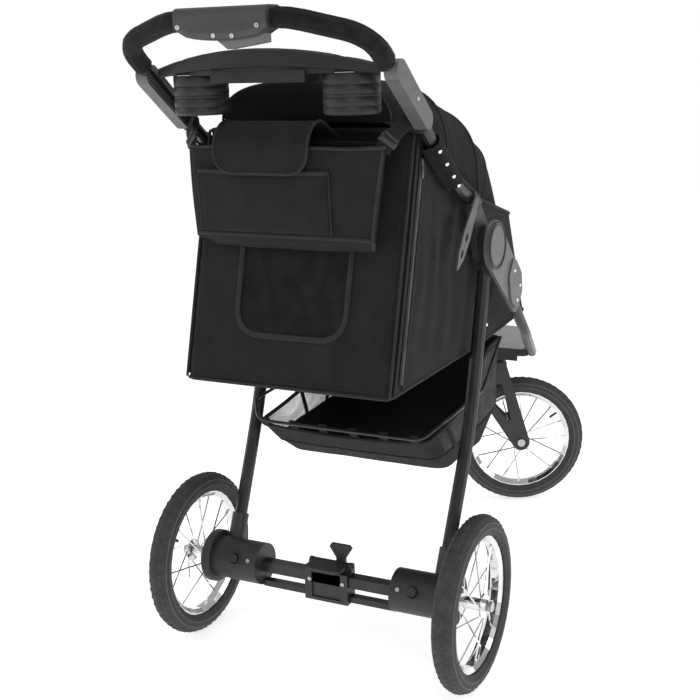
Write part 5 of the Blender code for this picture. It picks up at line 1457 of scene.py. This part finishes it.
def tray_details():
    """Rolled lips round the tray's two cup holes, and black rings round the hinge caps as painted shade of
    their grooves.
    """
    parts = []
    for side in (1, -1):
        line = ring_line(Vector((side * 0.133, 0.124, 1.0424)), 0.0420, 64)
        parts.append(swept("cup_lip", line, tray_plastic, 0.0013, closed=True, sides=8))
    gathered("cup_lips", parts, "handle_frame")
    # painted shade: black rings on the grey hinge caps where the grooves round the caps would show dark
    rings = []
    for side in (1, -1):
        for radius, width in ((0.0368, 0.0010), (0.0410, 0.0012)):
            line = [
                (side * 0.2396, -0.217 + math.cos(a) * radius, 0.730 + math.sin(a) * radius)
                for a in [math.tau * k / 64 for k in range(64)]
            ]
            rings.append(swept("cap_groove", line, black_plastic, width, closed=True, sides=8))
    gathered("cap_grooves", rings, "chassis")


def fasteners():
    """Screws, rivets and studs, each on the body that carries it."""
    rear = Vector((0, 1, 0.05))
    spots = ((0.070, 1.106), (0.010, 1.093), (-0.021, 1.092), (-0.062, 1.105))
    console = [((x, 0.2716, z), rear) for x, z in spots]
    for side in (1, -1):
        console.append(((side * 0.2275, 0.0950, 0.9960), (side, 0, 0)))
    set_on("handle_screws", screws, console, 1.0, "handle_frame")
    rivets = []
    for side in (1, -1):
        out = (side, 0, 0)
        plate = ((-0.311, 0.669), (-0.340, 0.637), (-0.325, 0.612))
        rivets += [((side * 0.2387, y, z), out) for y, z in plate]
        rivets.append(((side * 0.1460, -0.724, 0.4095), (side, -0.2, 0)))
        rivets.append(((side * 0.1955, -0.280, 0.571), out))
    set_on("chassis_rivets", studs, rivets, 0.75, "chassis")
    rear_spots = []
    for side in (1, -1):
        button = Vector((side * 0.178, 0, 0.1525))
        tilt = Vector((0, math.cos(math.radians(26)), math.sin(math.radians(26))))
        rear_spots.append((button + Vector((-side * 0.028, 0, 0)) + tilt * 0.0388, tilt))
        rear_spots.append((Vector((side * 0.0330, 0.0150, 0.148)), (0, 1, 0)))
        rear_spots.append((Vector((side * 0.1990, -0.0420, 0.206)), (-side, 0.2, 0)))
    set_on("rear_screws", screws, rear_spots, 1.1, "rear_frame")
    rings = []
    for side in (1, -1):
        tilt = Vector((0, math.cos(math.radians(26)), math.sin(math.radians(26))))
        lift = tilt.cross(Vector((1, 0, 0)))
        centre = Vector((side * 0.178, 0, 0.1525)) + tilt * 0.0392
        line = [
            centre + Vector((1, 0, 0)) * math.cos(a) * 0.0112 + lift * math.sin(a) * 0.0112
            for a in [math.tau * k / 28 for k in range(28)]
        ]
        rings.append(swept("button_ring", line, black_plastic, 0.0016, closed=True, sides=8))
    gathered("button_rings", rings, "rear_frame")


def handle_sleeves():
    """Fabric sleeves snapped round the lower handle tubes."""
    sleeves, spots = [], []
    lower, upper = Vector((0.2105, -0.105, 0.8395)), Vector((0.212, 0.212, 1.086))
    for side in (1, -1):
        start = lower.lerp(upper, 0.06)
        end = lower.lerp(upper, 0.36)
        rows = []
        along = (end - start).normalized()
        across = Vector((1, 0, 0))
        up = across.cross(along)
        for j in range(30):
            t = j / 29
            middle = start.lerp(end, t)
            row = []
            for k in range(20):
                angle = math.tau * k / 20
                swell = 0.0142 + 0.0018 * math.sin(math.pi * t) + ruffle((t * 3, k * 0.1, 0), 0.3, 0.0012, 29.0)
                if abs(math.cos(angle - 4.0)) > 0.92 and math.cos(angle - 4.0) > 0:
                    swell += 0.006
                p = middle + across * math.cos(angle) * swell + up * math.sin(angle) * swell
                row.append(Vector((side * p.x, p.y, p.z)))
            rows.append(row)
        sleeve = skin("tube_sleeve", rows, cloth_soft, ring=True)
        sleeves.append(walled(sleeve, 0.0012))
        for t in (0.12, 0.42, 0.72, 0.95):
            middle = start.lerp(end, 1 - t)
            out = across * 0.75 - up * 0.66
            p = middle + out.normalized() * 0.0172
            spots.append(((side * p.x, p.y, p.z), (side * out.x, out.y, out.z)))
    gathered("tube_sleeves", sleeves, "handle_frame")
    set_on("sleeve_snaps", studs, spots, 0.8, "handle_frame")


cabin()
zips()
hood()
canopy()
bag()
pocket()
flap()
straps()
basket()
base_pad()
wheels()
cups()
tray_details()
fasteners()
handle_sleeves()


# ---------------------------------------------------------------- studio


ROOM_LIGHT = 0.42
FLOOR_GLOW = 0.63


def studio():
    """A pale floor, a pale room and large soft lamps."""
    mesh = bpy.data.meshes.new("floor")
    reach = 60.0
    corners = [(x * reach, y * reach, 0) for x, y in ((-1, -1), (1, -1), (1, 1), (-1, 1))]
    mesh.from_pydata(corners, [], [(0, 1, 2, 3)])
    floor = bpy.data.objects.new("floor", mesh)
    scene.collection.objects.link(floor)
    finish, shader, node = new_finish(
        "studio_floor", (0.9, 0.9, 0.9), 0.8, Emission_Color=(1, 1, 1, 1), Emission_Strength=FLOOR_GLOW
    )
    grain = mottle(node, place(node), 6, 3)
    colour = shades(node, grain, ((0.88, 0.88, 0.88), (0.91, 0.91, 0.91)))
    mesh.materials.append(wire_up(finish, shader, colour, between(node, grain, 0.55, 0.65)))
    world = bpy.data.worlds.new("studio")
    world.use_nodes = True
    air = world.node_tree.nodes["Background"]
    air.inputs["Color"].default_value = (1.0, 1.0, 1.0, 1)
    seen = world.node_tree.nodes.new("ShaderNodeLightPath")
    room = world.node_tree.nodes.new("ShaderNodeMapRange")
    room.inputs["To Min"].default_value, room.inputs["To Max"].default_value = ROOM_LIGHT, 1.0
    world.node_tree.links.new(seen.outputs["Is Camera Ray"], room.inputs["Value"])
    world.node_tree.links.new(room.outputs[0], air.inputs["Strength"])
    scene.world = world
    middle = Vector((0, AXLE_Y - 0.2, 0.55))
    for name, spot, size, power in (
        ("key_lamp", (-1.6, 3.0, 2.6), 2.0, 34),
        ("side_lamp", (-3.4, -1.2, 1.8), 1.6, 30),
        ("fill_lamp", (2.8, 1.4, 1.8), 2.0, 22),
        ("top_lamp", (0.2, -0.4, 3.6), 2.4, 24),
    ):
        data = bpy.data.lights.new(name, "AREA")
        data.energy, data.size = power, size
        lamp = bpy.data.objects.new(name, data)
        lamp.location = Vector(spot) + Vector((0, AXLE_Y, 0))
        lamp.rotation_euler = (middle - lamp.location).to_track_quat("-Z", "Y").to_euler()
        scene.collection.objects.link(lamp)


def camera():
    """A long lens behind the stroller's right rear corner, a little above the handle."""
    yaw, pitch, roll = 0.4734, 0.2446, -0.0282
    ahead = Vector((math.sin(yaw) * math.cos(pitch), -math.cos(yaw) * math.cos(pitch), -math.sin(pitch)))
    level = Vector((-math.cos(yaw), -math.sin(yaw), 0))
    up = level.cross(ahead)
    right = level * math.cos(roll) + up * math.sin(roll)
    top = up * math.cos(roll) - level * math.sin(roll)
    data = bpy.data.cameras.new("camera")
    data.lens, data.sensor_width = 61.26, 36.0
    made = bpy.data.objects.new("camera", data)
    spot = Vector((-0.9458, 1.7405 + AXLE_Y, 1.0643))
    turned = Matrix((right, top, -ahead)).transposed().to_4x4()
    made.matrix_world = Matrix.Translation(spot) @ turned
    scene.collection.objects.link(made)
    scene.camera = made


studio()
camera()
scene.view_settings.view_transform = "Standard"
